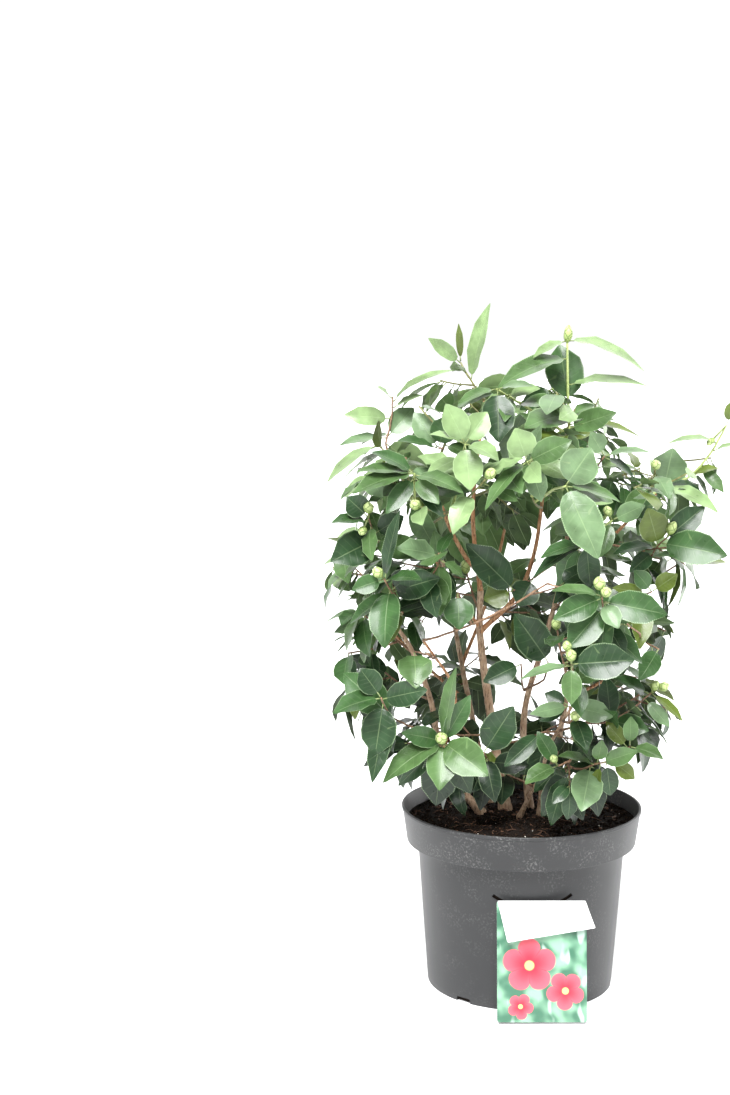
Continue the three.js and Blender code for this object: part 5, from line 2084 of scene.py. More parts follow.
@dataclass(frozen=True)
class Station:
    """A place on a limb: its point, the limb's direction and two directions across it."""

    point: Array
    axis: Array
    side: Array
    other: Array


class Limb:
    """A tapering limb along a route."""

    upright = 0.8

    def __init__(self, route: Route, foot: float, tip: float, flare: float = 0.0) -> None:
        """Keeps the route and the thicknesses.

        Args:
            route: The limb's line.
            foot: Its thickness at the foot.
            tip: Its thickness at the tip.
            flare: How much wider a root flare makes the foot.
        """
        self.route = route
        self.foot, self.tip, self.flare = foot / 2, tip / 2, flare
        self.length = route.length
        chord = unit(route.at(1.0) - route.at(0.0))
        self.side = unit(np.cross(BACK if abs(chord[2]) > self.upright else UP, chord))

    def radius(self, along: float) -> float:
        """The limb's radius at a share of its length."""
        return lerp(self.foot, self.tip, along) + self.flare * math.exp(
            -along * self.length / FLARE_LENGTH)

    def station(self, along: float) -> Station:
        """Finds a place on the limb.

        Args:
            along: The share of the limb's length.

        Returns:
            The place.
        """
        axis = self.route.way(along)
        side = unit(self.side - axis * (self.side @ axis))
        return Station(self.route.at(along), axis, side, np.cross(side, axis))

    def balls(self, pitch: float = 3.0) -> Balls:
        """The balls along the limb."""
        shares = np.linspace(0.0, 1.0, math.ceil(self.length / pitch) + 1)
        return Balls(self.route.spread(shares), np.array([self.radius(s) for s in shares]))


def grow_limbs() -> dict[str, Limb]:
    """Makes the limbs.

    Returns:
        Each limb under its name.
    """
    limbs: dict[str, Limb] = {}
    for spec in LIMBS:
        soil_level = SOIL.height + CLEARANCE
        points = [vec(p[0], p[1], p[2] if len(p) > 2 else soil_level) for p in spec.through]
        flare = FLARE_EXTRA * spec.foot / FULL_STEM
        if spec.parent:
            points.insert(0, limbs[spec.parent].route.at(spec.along))
            flare = 0.0
        limbs[spec.name] = Limb(Spline(points), spec.foot, spec.tip, flare)
    return limbs


def shoot_plan() -> list[Shoot]:
    """Plans where the masses' shoots end.

    Returns:
        The shoots, the named ones first.
    """
    random = Seeded(PLAN.seed)
    plan = list(SHOOTS)
    for ring in RINGS:
        for i in range(ring.count):
            place = ring.turn + i * 360 / ring.count
            heading = math.radians(place + random.around(PLAN.heading))
            reach = ring.reach + random.around(PLAN.reach)
            height = ring.height + random.around(PLAN.height)
            buds = int(random.next() < PLAN.bud_chance)
            aside = abs((place - PLAN.gap_heading + 180) % 360 - 180)
            if aside < PLAN.gap_half_width and PLAN.gap_low < ring.height < PLAN.gap_high:
                continue
            tip = (reach * math.sin(heading), -reach * math.cos(heading), height)
            plan.append(Shoot(f"{ring.name}_{i + 1}", tip, ring.droop, None, buds))
    return plan


@dataclass(frozen=True)
class Host:
    """The limb point that a shoot grows from, and its line out to its tip."""

    cost: float
    start: Array
    route: Route


def find_host(shoot: Shoot, limbs: dict[str, Limb], balls: Balls,
              taken: Sequence[Array]) -> Host | None:
    """Finds the limb point near, below and inward that has a clear way out.

    Args:
        shoot: The shoot that needs a host.
        limbs: The limbs by name.
        balls: The balls of the limbs and of the stems so far.
        taken: Points that other shoots or limbs start from.

    Returns:
        The best host, or nothing where there is none.
    """
    tip = np.array(shoot.tip, float)
    best: Host | None = None
    for name, limb in limbs.items():
        if shoot.host and shoot.host != name:
            continue
        along = HOST.lowest
        while along <= HOST.highest:
            start = limb.route.at(min(along, 1.0))
            bonus = HOST.tip_bonus if along > HOST.tip_from else 0.0
            along += HOST.pitch
            length = float(np.linalg.norm(tip - start))
            if not HOST.shortest <= length <= HOST.longest:
                continue
            if any(np.linalg.norm(other - start) < HOST.apart for other in taken):
                continue
            inward = math.hypot(*start[:2]) - math.hypot(*tip[:2])
            climb = max(0.0, HOST.climb * length - (tip[2] - start[2])) * HOST.climb_cost
            cost = length + climb + max(0.0, inward) - bonus
            if best and cost >= best.cost:
                continue
            route = Sagging(start, tip, TWIG.sag)
            line = route.points(np.linspace(0.0, 1.0, HOST.samples + 1))
            if balls.beyond(start, HOST.bearing_zone).room(line) - TWIG.foot < HOST.room:
                continue
            best = Host(cost, start, route)
    return best


def in_crown(points: Array) -> bool:
    """Tests for the crown's outline and its front gap.

    Args:
        points: The points.

    Returns:
        Whether all are inside the outline and out of the gap.
    """
    x, y, z = points.T
    reach = np.hypot(x, y)
    floor = PLAN.floor + PLAN.rise * np.maximum(0.0, reach - PLAN.rise_from)
    inside = (reach <= PLAN.farthest) & (z <= PLAN.top) & (z >= floor)
    in_gap = ((x >= PLAN.gap_left) & (x <= PLAN.gap_right) & (y <= PLAN.gap_front)
              & (z >= PLAN.gap_low) & (z <= PLAN.gap_high))
    return bool(np.all(inside & ~in_gap))


@dataclass(frozen=True)
class OpenView:
    """A part of the front where the wood behind shows, so no leaf hangs in front of it."""

    left: float
    right: float
    low: float
    high: float
    front: float

    def hides(self, points: Array) -> bool:
        """Tests for points in front of it.

        Args:
            points: The points.

        Returns:
            Whether any of them is.
        """
        x, y, z = points.T
        return bool(np.any((x > self.left) & (x < self.right) & (y < self.front)
                           & (z > self.low) & (z < self.high)))


OPEN_VIEWS = (
    OpenView(-76, 28, 462, 600, 6),
    OpenView(-152, -104, 352, 452, -22),
    OpenView(2, 34, 300, 430, 8),
)


class FrontView:
    """What the camera sees of the crown: its edge, and the set leaves and buds, kept in view."""

    pitch = math.radians(-VIEWPOINT.pitch)
    camera = vec(*VIEWPOINT.place)
    focal = VIEWPOINT.focal
    middle = (VIEWPOINT.frame[0] / 2, VIEWPOINT.frame[1] / 2)
    behind = 4.0

    def __init__(self, shown: Sequence[Array]) -> None:
        """Keeps the points that stay in view, each with the pixels round it that do."""
        kept = np.concatenate(shown)
        self.shown, self.reach = self.project(kept[:, :3]), kept[:, 3]

    def project(self, points: Array) -> Array:
        """Finds where the camera sees points.

        Args:
            points: The points.

        Returns:
            Rows of the pixel across and down in the photograph and the distance.
        """
        x, y, z = (points - self.camera).T
        far = y * math.cos(self.pitch) - z * math.sin(self.pitch)
        rise = z * math.cos(self.pitch) + y * math.sin(self.pitch)
        return np.stack([self.middle[0] + self.focal * x / far,
                         self.middle[1] - self.focal * rise / far, far], axis=1)

    def within(self, points: Array) -> bool:
        """Tests for the crown's edge.

        Args:
            points: The points.

        Returns:
            Whether all of them stay within it.
        """
        across, down, _ = self.project(points).T
        rows, left, right = np.array(CROWN_SIDES, float).T
        return bool(np.all((down >= np.interp(across, *np.array(CROWN_TOP, float).T))
                           & (across >= np.interp(down, rows, left))
                           & (across <= np.interp(down, rows, right))))

    def allows(self, points: Array) -> bool:
        """Tests a leaf for the crown's edge and for what stays in view.

        Args:
            points: The leaf's points.

        Returns:
            Whether they stay within the edge and hide nothing.
        """
        if not self.within(points):
            return False
        across, down, far = self.project(points).T
        gaps = np.hypot(across[:, None] - self.shown[:, 0], down[:, None] - self.shown[:, 1])
        return not np.any((gaps < self.reach) & (far[:, None] < self.shown[:, 2] + self.behind))


class Cell:
    """A mass's own space: all that is nearer to its heart than to any other mass's."""

    def __init__(self, heart: Array, others: Sequence[Array]) -> None:
        """Sets a plane halfway to each heart that isn't far off.

        Args:
            heart: The mass's heart.
            others: The others' hearts.
        """
        near = [o for o in others if np.linalg.norm(o - heart) < CELL_FARTHEST]
        self.normals = np.array([unit(o - heart) for o in near]).reshape(-1, 3)
        self.offsets = np.array([unit(o - heart) @ lerp(heart, o, 0.5) for o in near])

    def holds(self, points: Array, margin: float = CELL_MARGIN) -> bool:
        """Whether all the points are in the crown and a margin inside the planes."""
        return in_crown(points) and bool(np.all(points @ self.normals.T < self.offsets - margin))


def strikes(edges: Array, faces: Array) -> bool:
    """Tests for edges that pass through triangles.

    Args:
        edges: The edges' ends, as an array (n, 2, 3).
        faces: The triangles' corners, as an array (m, 3, 3).

    Returns:
        Whether any edge passes through any triangle.
    """
    start, way = edges[:, None, 0], (edges[:, 1] - edges[:, 0])[:, None]
    corner, first, second = faces[None, :, 0], faces[:, 1] - faces[:, 0], faces[:, 2] - faces[:, 0]
    across = np.cross(way, second[None])
    scale = np.sum(first[None] * across, axis=2)
    scale = np.where(np.abs(scale) < 1e-9, np.inf, scale)
    offset = start - corner
    u = np.sum(offset * across, axis=2) / scale
    turned = np.cross(offset, np.broadcast_to(first[None], offset.shape))
    v = np.sum(way * turned, axis=2) / scale
    t = np.sum(second[None] * turned, axis=2) / scale
    return bool(np.any((u >= 0) & (v >= 0) & (u + v <= 1) & (t > 0) & (t < 1)))


BLADE_RING = ((0.0, 0.0), (0.34, 0.92), (0.7, 0.82), (1.0, 0.0), (0.7, -0.82), (0.34, -0.92))
BLADE_SPOTS = ((0.42, 0.0), (0.5, 0.6), (0.5, -0.6), (0.62, 0.0), (0.72, 0.5), (0.72, -0.5),
               (0.85, 0.0), (1.0, 0.0))
BLADE_NECK = 0.25


@dataclass(frozen=True)
class Blade:
    """A leaf's place and shape, from its root on the twig to its point.

    Its base lies petiole from the root. A leaf with no tint is dealt one later.
    """

    root: Array
    along: Array
    face: Array
    length: float
    width: float
    curl: float
    fold: float
    petiole: float = 0.0
    wave: float = 0.0
    tint: Tint | None = None

    def place(self, u: Array, v: Array, w: Array) -> Array:
        """Puts points on the blade.

        Args:
            u: How far along they are.
            v: How far across.
            w: How far above.

        Returns:
            The points in space.
        """
        up = unit(self.face - self.along * (self.face @ self.along))
        across = np.cross(self.along, up)
        bend = self.curl * (u / self.length) ** 2 * self.length
        lift = w - bend + self.fold * np.abs(v)
        return (self.root + np.outer(u, self.along) + np.outer(v, across) + np.outer(lift, up))

    def marks(self, spots: Sequence[tuple[float, float]]) -> Array:
        """Puts points on the blade by shares.

        Args:
            spots: Shares of the length and of the half width.

        Returns:
            The points in space.
        """
        table = np.array(spots)
        return self.place(table[:, 0] * self.length, table[:, 1] * self.width / 2,
                          np.zeros(len(spots)))

    def hull(self) -> tuple[Array, Array, Array]:
        """Finds what stands for the blade in tests.

        Returns:
            The ring of corners, the edges and the triangles.
        """
        ring = self.marks(BLADE_RING)
        middle = self.marks(((0.5, 0.0),))[0]
        after = np.roll(ring, -1, axis=0)
        faces = np.stack([np.broadcast_to(middle, ring.shape), ring, after], axis=1)
        starts, ends = ring.copy(), after.copy()
        starts[0] = lerp(ring[0], ring[1], BLADE_NECK)
        ends[-1] = lerp(ring[0], ring[-1], BLADE_NECK)
        rib = np.array([[lerp(ring[0], middle, BLADE_NECK), ring[3]]])
        return ring, np.concatenate([np.stack([starts, ends], axis=1), rib]), faces


GRID_STATIONS, GRID_SHARES = (a.ravel() for a in np.meshgrid(np.linspace(0.1, 1.0, 11),
                                                             np.linspace(-1.0, 1.0, 7)))
GRID_SHARES = GRID_SHARES * (4 * GRID_STATIONS * (1 - GRID_STATIONS)).clip(0) ** 0.5


class Crowd:
    """Leaves that must keep clear of each other."""

    def __init__(self, blades: Iterable[Blade] = ()) -> None:
        """Starts with some leaves.

        Args:
            blades: The leaves.
        """
        self.blades: list[Blade] = []
        self.hulls: list[tuple[Array, Array, Array]] = []
        self.spots: list[Array] = []
        for blade in blades:
            self.add(blade)

    def add(self, blade: Blade) -> None:
        """Adds a leaf.

        Args:
            blade: The leaf.
        """
        self.blades.append(blade)
        self.hulls.append(blade.hull())
        self.spots.append(blade.marks(BLADE_SPOTS))

    def near(self, place: Array, reach: float) -> list[Blade]:
        """The leaves whose middle is within reach of a place."""
        return [blade for blade, (_, _, faces) in zip(self.blades, self.hulls)
                if np.linalg.norm(faces[0, 0] - place) < reach]

    def clear_of(self, blade: Blade) -> bool:
        """Tests a leaf against these.

        Args:
            blade: The leaf.

        Returns:
            Whether it neither touches nor crosses any.
        """
        _, edges, faces = blade.hull()
        close = [i for i, (_, _, other) in enumerate(self.hulls)
                 if np.linalg.norm(other[0, 0] - faces[0, 0])
                 < LEAF.far_off * (blade.length + self.blades[i].length)]
        if not close:
            return True
        spots = blade.marks(BLADE_SPOTS)
        others = np.concatenate([self.spots[i] for i in close])
        if np.linalg.norm(spots[:, None] - others[None], axis=2).min() < LEAF.spot_gap:
            return False
        other_edges = np.concatenate([self.hulls[i][1] for i in close])
        other_faces = np.concatenate([self.hulls[i][2] for i in close])
        return not strikes(edges, other_faces) and not strikes(other_edges, faces)


@dataclass(frozen=True)
class GrownBud:
    """A bud in its place: its middle, where it points, its size, stretch and where it grows."""

    centre: Array
    axis: Array
    size: float
    stretch: float
    foot: Array


class Bearer:
    """What masses and set sprays share: they bear leaves on their twigs where there is room."""

    def __init__(self, seed: int, outward: Array, droop: float) -> None:
        """Starts bare.

        Args:
            seed: The seed of its random numbers.
            outward: The level way out from the pot's axis.
            droop: How much its leaves hang.
        """
        self.random = Seeded(seed)
        self.outward = outward
        self.droop = droop
        self.blades: list[Blade] = []
        self.buds: list[GrownBud] = []

    def enclose(self, cell: Cell, crowd: Crowd, view: FrontView) -> None:
        """Gives it its cell, the leaves that it keeps clear of and the front view."""
        self.cell, self.crowd, self.view = cell, crowd, view

    def _aim(self, station: Station, spread: float, turn: float) -> Array:
        """Finds a direction that opens from a twig.

        Args:
            station: The place on the twig.
            spread: How far it opens, in degrees.
            turn: Its turn round the twig, in degrees.

        Returns:
            The direction.
        """
        open_, turned = math.radians(spread), math.radians(turn)
        return (station.axis * math.cos(open_) + station.side * math.sin(open_) * math.cos(turned)
                + station.other * math.sin(open_) * math.sin(turned))

    def _leaf(self, twig: Limb, along: float, azimuth: float, spread: float,
              others: Balls) -> bool:
        """Sets one leaf, turned, opened and shortened a little more each time that it won't fit.

        Args:
            twig: The twig that bears it.
            along: The share of the twig's length.
            azimuth: Its turn round the twig.
            spread: How far it opens from the twig.
            others: The balls of all that it keeps clear of.

        Returns:
            Whether there was room for it.
        """
        random = self.random
        station = twig.station(along)
        near = others.near(station.point, 2 * LEAF.length)
        for attempt in range(LEAF.tries):
            turn = azimuth + random.around((1 + attempt) * LEAF.turn_play)
            open_ = spread + random.around(LEAF.spread_play + attempt * LEAF.spread_more)
            way = self._aim(station, open_, turn)
            way = way - UP * (self.droop + LEAF.droop_more) * random.between(LEAF.droop)
            way = unit(way + self.outward * LEAF.outward)
            face = (UP + self.outward * LEAF.face_outward
                    + station.side * random.around(LEAF.face_tilt)
                    + station.other * random.around(LEAF.face_tilt))
            length = LEAF.length * random.between(LEAF.length_spread) * LEAF.shrink ** attempt
            width = length * LEAF.width * random.between(LEAF.width_spread)
            blade = Blade(station.point, way, face, length, width, random.between(LEAF.curl),
                          random.between(LEAF.fold), random.between(LEAF.petiole),
                          random.around(LEAF.wave))
            if self._fits(blade, near):
                self.blades.append(blade)
                self.crowd.add(blade)
                return True
        return False

    def _fits(self, blade: Blade, near: Balls) -> bool:
        """Tests whether there is room for a leaf.

        Args:
            blade: The leaf.
            near: The balls of what is near it.

        Returns:
            Whether it stays in the cell and clear of all the rest.
        """
        ring = blade.marks(BLADE_RING)
        if not self.cell.holds(ring) or any(view.hides(ring) for view in OPEN_VIEWS):
            return False
        if not self.view.allows(np.concatenate([ring, blade.marks(BLADE_SPOTS)])):
            return False
        grid = blade.place(GRID_STATIONS * blade.length, GRID_SHARES * blade.width / 2,
                           np.zeros(len(GRID_SHARES)))
        return near.room(grid) >= LEAF.room + LEAF.keel and self.crowd.clear_of(blade)


class Sprig(Bearer):
    """A set spray in its place: its twig, its leaves and its buds."""

    def __init__(self, spray: Spray, index: int, wood: Balls, stems: dict[str, Limb]) -> None:
        """Grows the spray from the wood nearest to its line, or on a mass's stem.

        Args:
            spray: The spray.
            index: Its number.
            wood: The balls of the limbs, stems and twigs that it may grow from.
            stems: The masses' stems by name.
        """
        self.spray = spray
        self.borne = isinstance(spray.line, str)
        if self.borne:
            self.twig = stems[spray.line]
        else:
            line = np.array(spray.line, float)
            gaps = np.linalg.norm(wood.centres - line[0], axis=1)
            gaps += SPRAY.uphill * np.maximum(0.0, wood.centres[:, 2] - line[0, 2])
            start = wood.centres[int(np.argmin(np.where(gaps < SPRAY.nearest, np.inf, gaps)))]
            self.twig = Limb(Spline([start, *line]), SPRAY.foot * 2, SPRAY.tip * 2)
        end = self.twig.route.at(1.0)
        super().__init__(SPRAY_SEED + index, unit(vec(end[0], end[1], 0.0)), SPRAY.droop)
        self.blades = [self._blade(leaf) for leaf in spray.leaves]
        self.buds = [self._bud(bud) for bud in spray.buds]

    def _blade(self, leaf: Leaf) -> Blade:
        """Turns a leaf so that it reaches its place along its curl.

        Args:
            leaf: The leaf.

        Returns:
            Its blade.
        """
        share = max(SPRAY.least_share, 1.0 - leaf.back / self.twig.length)
        root = self.twig.route.at(share)
        chord = vec(leaf.x, leaf.y, leaf.z) - root
        way, curl = unit(chord), leaf.curl / 100.0
        face = np.array(leaf.facing.value)
        up = unit(face - way * (face @ way))
        turn = math.atan(curl)
        length = float(np.linalg.norm(chord)) * math.cos(turn)
        return Blade(root, way * math.cos(turn) + up * math.sin(turn), face, length, leaf.width,
                     curl, SPRAY.fold, SPRAY.petiole, SPRAY.wave, leaf.tint)

    def _bud(self, bud: Bud) -> GrownBud:
        """Points a bud away from the twig's end.

        Args:
            bud: The bud.

        Returns:
            The bud in its place.
        """
        end, centre = self.twig.route.at(1.0), vec(bud.x, bud.y, bud.z)
        gap = centre - end
        axis = unit(gap + self.twig.route.way(1.0) * SPRAY.bud_along)
        return GrownBud(centre, axis, bud.size, bud.stretch, end)

    def shown(self) -> Array:
        """Lists the points of it that stay in view.

        Returns:
            Rows of a point and of how many pixels round it stay in view too.
        """
        kept = [(np.zeros((0, 3)), 0.0)]
        kept += [(blade.marks(BLADE_SPOTS), SPRAY.leaf_reach) for blade in self.blades]
        kept += [(bud.centre[None], SPRAY.bud_reach) for bud in self.buds]
        return np.concatenate([np.insert(spots, 3, reach, axis=1) for spots, reach in kept])

    def clothe(self, others: Balls) -> None:
        """Sets more leaves along the twig, from its end back.

        Args:
            others: The balls of all that they keep clear of.
        """
        azimuth = self.random.between((0.0, 360.0))
        gone = LEAF.spacing
        while gone < self.twig.length * (1 - SPRAY.bare):
            self._leaf(self.twig, 1 - gone / self.twig.length, azimuth, LEAF.spread, others)
            azimuth += LEAF.turn
            gone += LEAF.spacing


class Mass(Bearer):
    """A mass of foliage: its stem, side twigs, leaves and buds."""

    def __init__(self, shoot: Shoot, index: int, host: Host) -> None:
        """Starts from the shoot's line, with the seed that the solid's mass has.

        Args:
            shoot: The shoot.
            index: Its number in the plan.
            host: Where it grows from.
        """
        tip = np.array(shoot.tip, float)
        super().__init__(MASS_SEED_FIRST + index * MASS_SEED_STEP, unit(vec(tip[0], tip[1], 0.0)),
                         shoot.droop)
        self.shoot = shoot
        self.host = host
        self.stem = Limb(host.route, TWIG.foot * 2, TWIG.tip * 2)
        self.heart = lerp(host.start, tip, HEART_ALONG) + self.outward * HEART_OUTWARD
        self.heart = self.heart - UP * HEART_DROP * max(0.0, shoot.droop)
        self.twigs = [self.stem]
        self.starts = [0.0]
        self.ends = [0.0]
        self.bears = any(spray.line == shoot.name for spray in SPRAYS)

    def grow(self, foreign: Balls) -> None:
        """Grows the solid's side twig, the finer ones, the leaves and the buds, in that order.

        Args:
            foreign: The balls of limbs and of other masses' stems.
        """
        self._twig(TWIG.solid_from, TWIG.solid_length, foreign, False)
        for place in TWIG.fine_from:
            if self.bears and place > TWIG.bearer_fine:
                continue
            span = (place - TWIG.fine_play, place + TWIG.fine_play)
            self._twig(span, TWIG.fine_length, foreign, True)
        self._leaves(foreign)
        self._buds(foreign)

    def _twig(self, span: tuple[float, float], lengths: tuple[float, float], foreign: Balls,
              fine: bool) -> None:
        """Grows one side twig where there is room.

        Args:
            span: The shares of the stem's length between which it starts.
            lengths: Its least and greatest length.
            foreign: The balls of limbs and of other masses' stems.
            fine: Whether it is one of the finer ones, which also keep off this mass's own.
        """
        for _ in range(TWIG.tries):
            along = self.random.between(span)
            station = self.stem.station(along)
            turn, spread = self.random.between((0.0, 360.0)), self.random.between(TWIG.spread)
            way = unit(self._aim(station, spread, turn) + self.outward * TWIG.outward)
            end = station.point + way * self.random.between(lengths)
            route = Sagging(station.point, end, TWIG.side_sag)
            line = route.points(np.linspace(0.0, 1.0, HOST.samples + 1))
            if not self.cell.holds(end[None], TWIG.end_margin) or not self.view.within(end[None]):
                continue
            if not self.cell.holds(route.points(np.array([0.5])), TWIG.middle_margin):
                continue
            if foreign.room(line) - TWIG.foot < HOST.room:
                continue
            own = together(twig.balls() for twig in self.twigs[1:])
            if fine and own.room(line[TWIG.apart_from:]) < TWIG.apart:
                continue
            foot = TWIG.foot * TWIG.side_share * (TWIG.fine_foot if fine else 1.0)
            self.twigs.append(Limb(route, foot * 2, TWIG.tip * (TWIG.fine_tip if fine else 2)))
            self.starts.append(along)
            self.ends.append(0.0)
            return

    def _leaves(self, foreign: Balls) -> None:
        """Sets leaves by turns back from each twig's tip.

        Args:
            foreign: The same balls as in grow.
        """
        own = together(twig.balls() for twig in self.twigs)
        for rank, twig in enumerate(self.twigs):
            if self.bears and not rank:
                continue
            azimuth = self.random.between((0.0, 360.0))
            places = [(LEAF.terminal_from - i * LEAF.terminal_step, spread)
                      for i, spread in enumerate(LEAF.terminal_spread)]
            reach = twig.length * (LEAF.side_share if rank else LEAF.stem_share)
            gone = LEAF.spacing
            while gone < reach:
                places.append((1 - gone / twig.length, LEAF.spread))
                gone += LEAF.spacing
            for along, spread in places:
                beyond = own.beyond(twig.route.at(along), LEAF.root_zone, False)
                if self._leaf(twig, along, azimuth, spread, together([foreign, beyond])):
                    self.ends[rank] = max(self.ends[rank], along)
                azimuth += LEAF.turn

    def _buds(self, foreign: Balls) -> None:
        """Sets a flower bud on the tip of each twig that bears one.

        Args:
            foreign: The same balls as in grow.
        """
        reach = BUD_RADIUS * BUD_STRETCH
        wanted = 1 + int(self.random.next() < PLAN.bud_chance) if self.shoot.buds else 0
        for rank in range(int(self.bears), min(wanted, len(self.twigs))):
            if self.ends[rank] < TWIG.bud_from:
                continue
            self.ends[rank] = 1.0
            station = self.twigs[rank].station(1.0)
            centre = station.point + station.axis * (reach - BUD_SUNK)
            if not self.cell.holds(centre[None], reach):
                continue
            if foreign.near(centre, reach + BUD_ROOM).radii.size:
                continue
            size = self.random.between(BUD_SIZES)
            self.buds.append(GrownBud(centre, station.axis, size, BUD_STRETCH, station.point))


def trim(mass: Mass, spurs: Sequence[Array]) -> None:
    """Ends a mass's twigs at their outermost leaf, twig or spray, and its bare twigs at once.

    Args:
        mass: The grown mass.
        spurs: Where the set sprays start.
    """
    ends = [min(1.0, end + TWIG.past_leaf) if end else 0.0 for end in mass.ends]
    held = [start for start, end in zip(mass.starts[1:], ends[1:]) if end]
    shares = np.linspace(0.0, 1.0, TWIG.marks)
    line = mass.stem.route.spread(shares)
    for spur in spurs:
        gaps = np.linalg.norm(line - spur, axis=1)
        if gaps.min() < TWIG.touch:
            held.append(float(shares[gaps.argmin()]))
    ends[0] = 1.0 if mass.bears else max([ends[0], *held])
    mass.ends = ends


def grow_crown(limbs: dict[str, Limb]) -> tuple[list[Mass], list[Sprig]]:
    """Grows every mass of foliage on the limbs, as the solids' source does, round the set sprays.

    Args:
        limbs: The limbs by name.

    Returns:
        The masses and the sprigs.
    """
    wood = together(limb.balls() for limb in limbs.values())
    forks = [limb.route.at(0.0) for limb in limbs.values()]
    stems: list[Balls] = []
    masses: list[Mass] = []
    for index, shoot in enumerate(shoot_plan()):
        taken = [*forks, *(mass.host.start for mass in masses)]
        host = find_host(shoot, limbs, together([wood, *stems]), taken)
        if host is None:
            continue
        mass = Mass(shoot, index, host)
        masses.append(mass)
        stems.append(mass.stem.balls())
    named = {mass.shoot.name: mass.stem for mass in masses}
    carriers = [wood, *stems]
    sprigs: list[Sprig] = []
    for index, spray in enumerate(SPRAYS):
        sprigs.append(Sprig(spray, index, together(carriers), named))
        carriers.append(sprigs[-1].twig.balls())
    own = [sprig for sprig in sprigs if not sprig.borne]
    twigs = [sprig.twig.balls() for sprig in own]
    crowd = Crowd(blade for sprig in sprigs for blade in sprig.blades)
    view = FrontView([sprig.shown() for sprig in sprigs])
    for rank, mass in enumerate(masses):
        cell = Cell(mass.heart, [near.heart for near in masses if near is not mass])
        mass.enclose(cell, Crowd(crowd.near(mass.heart, 4 * LEAF.length)), view)
        mass.grow(together([wood, *twigs, *stems[:rank], *stems[rank + 1:]]))
        trim(mass, [sprig.twig.route.at(0.0) for sprig in own])
    for mass in masses:
        for blade in mass.blades:
            crowd.add(blade)
        carriers += [twig.balls() for twig in mass.twigs[1:]]
    for sprig in own:
        heart = sprig.twig.route.at(0.5)
        sprig.enclose(Cell(heart, []), crowd, view)
        sprig.clothe(together(carriers))
    log.info("masses %d, sprays %d, leaves %d, buds %d", len(masses), len(sprigs),
             len(crowd.blades), sum(len(grown.buds) for grown in (*masses, *sprigs)))
    return masses, sprigs


# Wood and leaves as meshes

@dataclass
class Wood:
    """The limbs with their bark, as two pieces: old wood and young wood."""

    limbs: dict[str, Limb]
    ring_gap: float = 2.6
    collar: float = 0.35
    collar_length: float = 5.0
    sunk: float = 5.0
    relief_stretch: float = 0.3
    relief_waves: tuple[tuple[float, float], ...] = ((1.0, 0.5), (0.6, 1.3))
    relief_height: float = 6.0

    def build(self) -> None:
        """Makes the two pieces."""
        stems = [spec.name for spec in LIMBS if not spec.parent]
        boughs = [spec.name for spec in LIMBS if spec.parent]
        old = Bark("old_bark", (0.12, 0.07, 0.04), (0.33, 0.205, 0.125), (0.5, 0.36, 0.245))
        young = Bark("young_bark", (0.13, 0.048, 0.02), (0.36, 0.16, 0.07), (0.5, 0.29, 0.15))
        self._piece("old_wood", stems, sides=14, relief=0.07, finish=old)
        self._piece("young_wood", boughs, sides=10, relief=0.05, finish=young)

    def _piece(self, name: str, members: Sequence[str], sides: int, relief: float, finish: Bark) -> None:
        """Joins some limbs into one piece.

        Args:
            name: The piece's name.
            members: The limbs' names.
            sides: How many sides each has.
            relief: The depth of the bark's relief as a share of the radius.
            finish: The bark.
        """
        whole = bmesh.new()
        for member in members:
            limb = self.limbs[member]
            tube = self._tube(limb, sides, relief, sunk=self.sunk if limb.flare else 0.0)
            pour(tube, whole)
        piece = smooth_object(name, whole, sharp_angle=70.0)
        publish(piece, [finish.build()], members)

    def _tube(self, limb: Limb, sides: int, relief: float, sunk: float) -> BMesh:
        """Draws a ring along a limb, closes its ends and raises the bark.

        Args:
            limb: The limb.
            sides: How many sides it has.
            relief: The depth of the bark's relief as a share of the radius.
            sunk: How far its foot goes down into the compost.

        Returns:
            The limb's closed skin.
        """
        shape = bmesh.new()
        ring = bmesh.ops.create_circle(shape, cap_ends=True, segments=sides, radius=1.0)["verts"]
        steps = max(4, round(limb.length / self.ring_gap))
        frames = [self._frame(limb, i / steps) for i in range(steps + 1)]
        if sunk:
            frames.insert(0, Matrix.Translation((0.0, 0.0, -sunk)) @ frames[0])
        bmesh.ops.transform(shape, matrix=frames[0], verts=ring)
        cap = shape.faces[:]
        for before, after in zip(frames, frames[1:]):
            made = bmesh.ops.extrude_face_region(shape, geom=cap,
                                                 use_keep_orig=before is frames[0])
            cap = picked(made, BMFace)
            bmesh.ops.transform(shape, matrix=after @ before.inverted(),
                                verts=picked(made, BMVert))
        bmesh.ops.recalc_face_normals(shape, faces=shape.faces)
        shape.normal_update()
        shifts = []
        for vert in shape.verts:
            point = Vector((vert.co.x, vert.co.y, vert.co.z * self.relief_stretch))
            rough = sum(share * noise.noise(point * waves) for share, waves in self.relief_waves)
            shifts.append(vert.normal * rough * relief * self.relief_height)
        for vert, shift in zip(shape.verts, shifts):
            vert.co += shift
        return shape

    def _frame(self, limb: Limb, along: float) -> Matrix:
        """Finds what puts a circle of radius 1 round a limb.

        Args:
            limb: The limb.
            along: The share of its length.

        Returns:
            The matrix.
        """
        station = limb.station(along)
        radius = limb.radius(along)
        if not limb.flare:
            radius += limb.foot * self.collar * math.exp(-along * limb.length / self.collar_length)
        columns = np.eye(4)
        columns[:3, 0] = station.side * radius
        columns[:3, 1] = station.other * radius
        columns[:3, 2] = -station.axis * radius
        columns[:3, 3] = station.point
        return Matrix(columns.tolist())


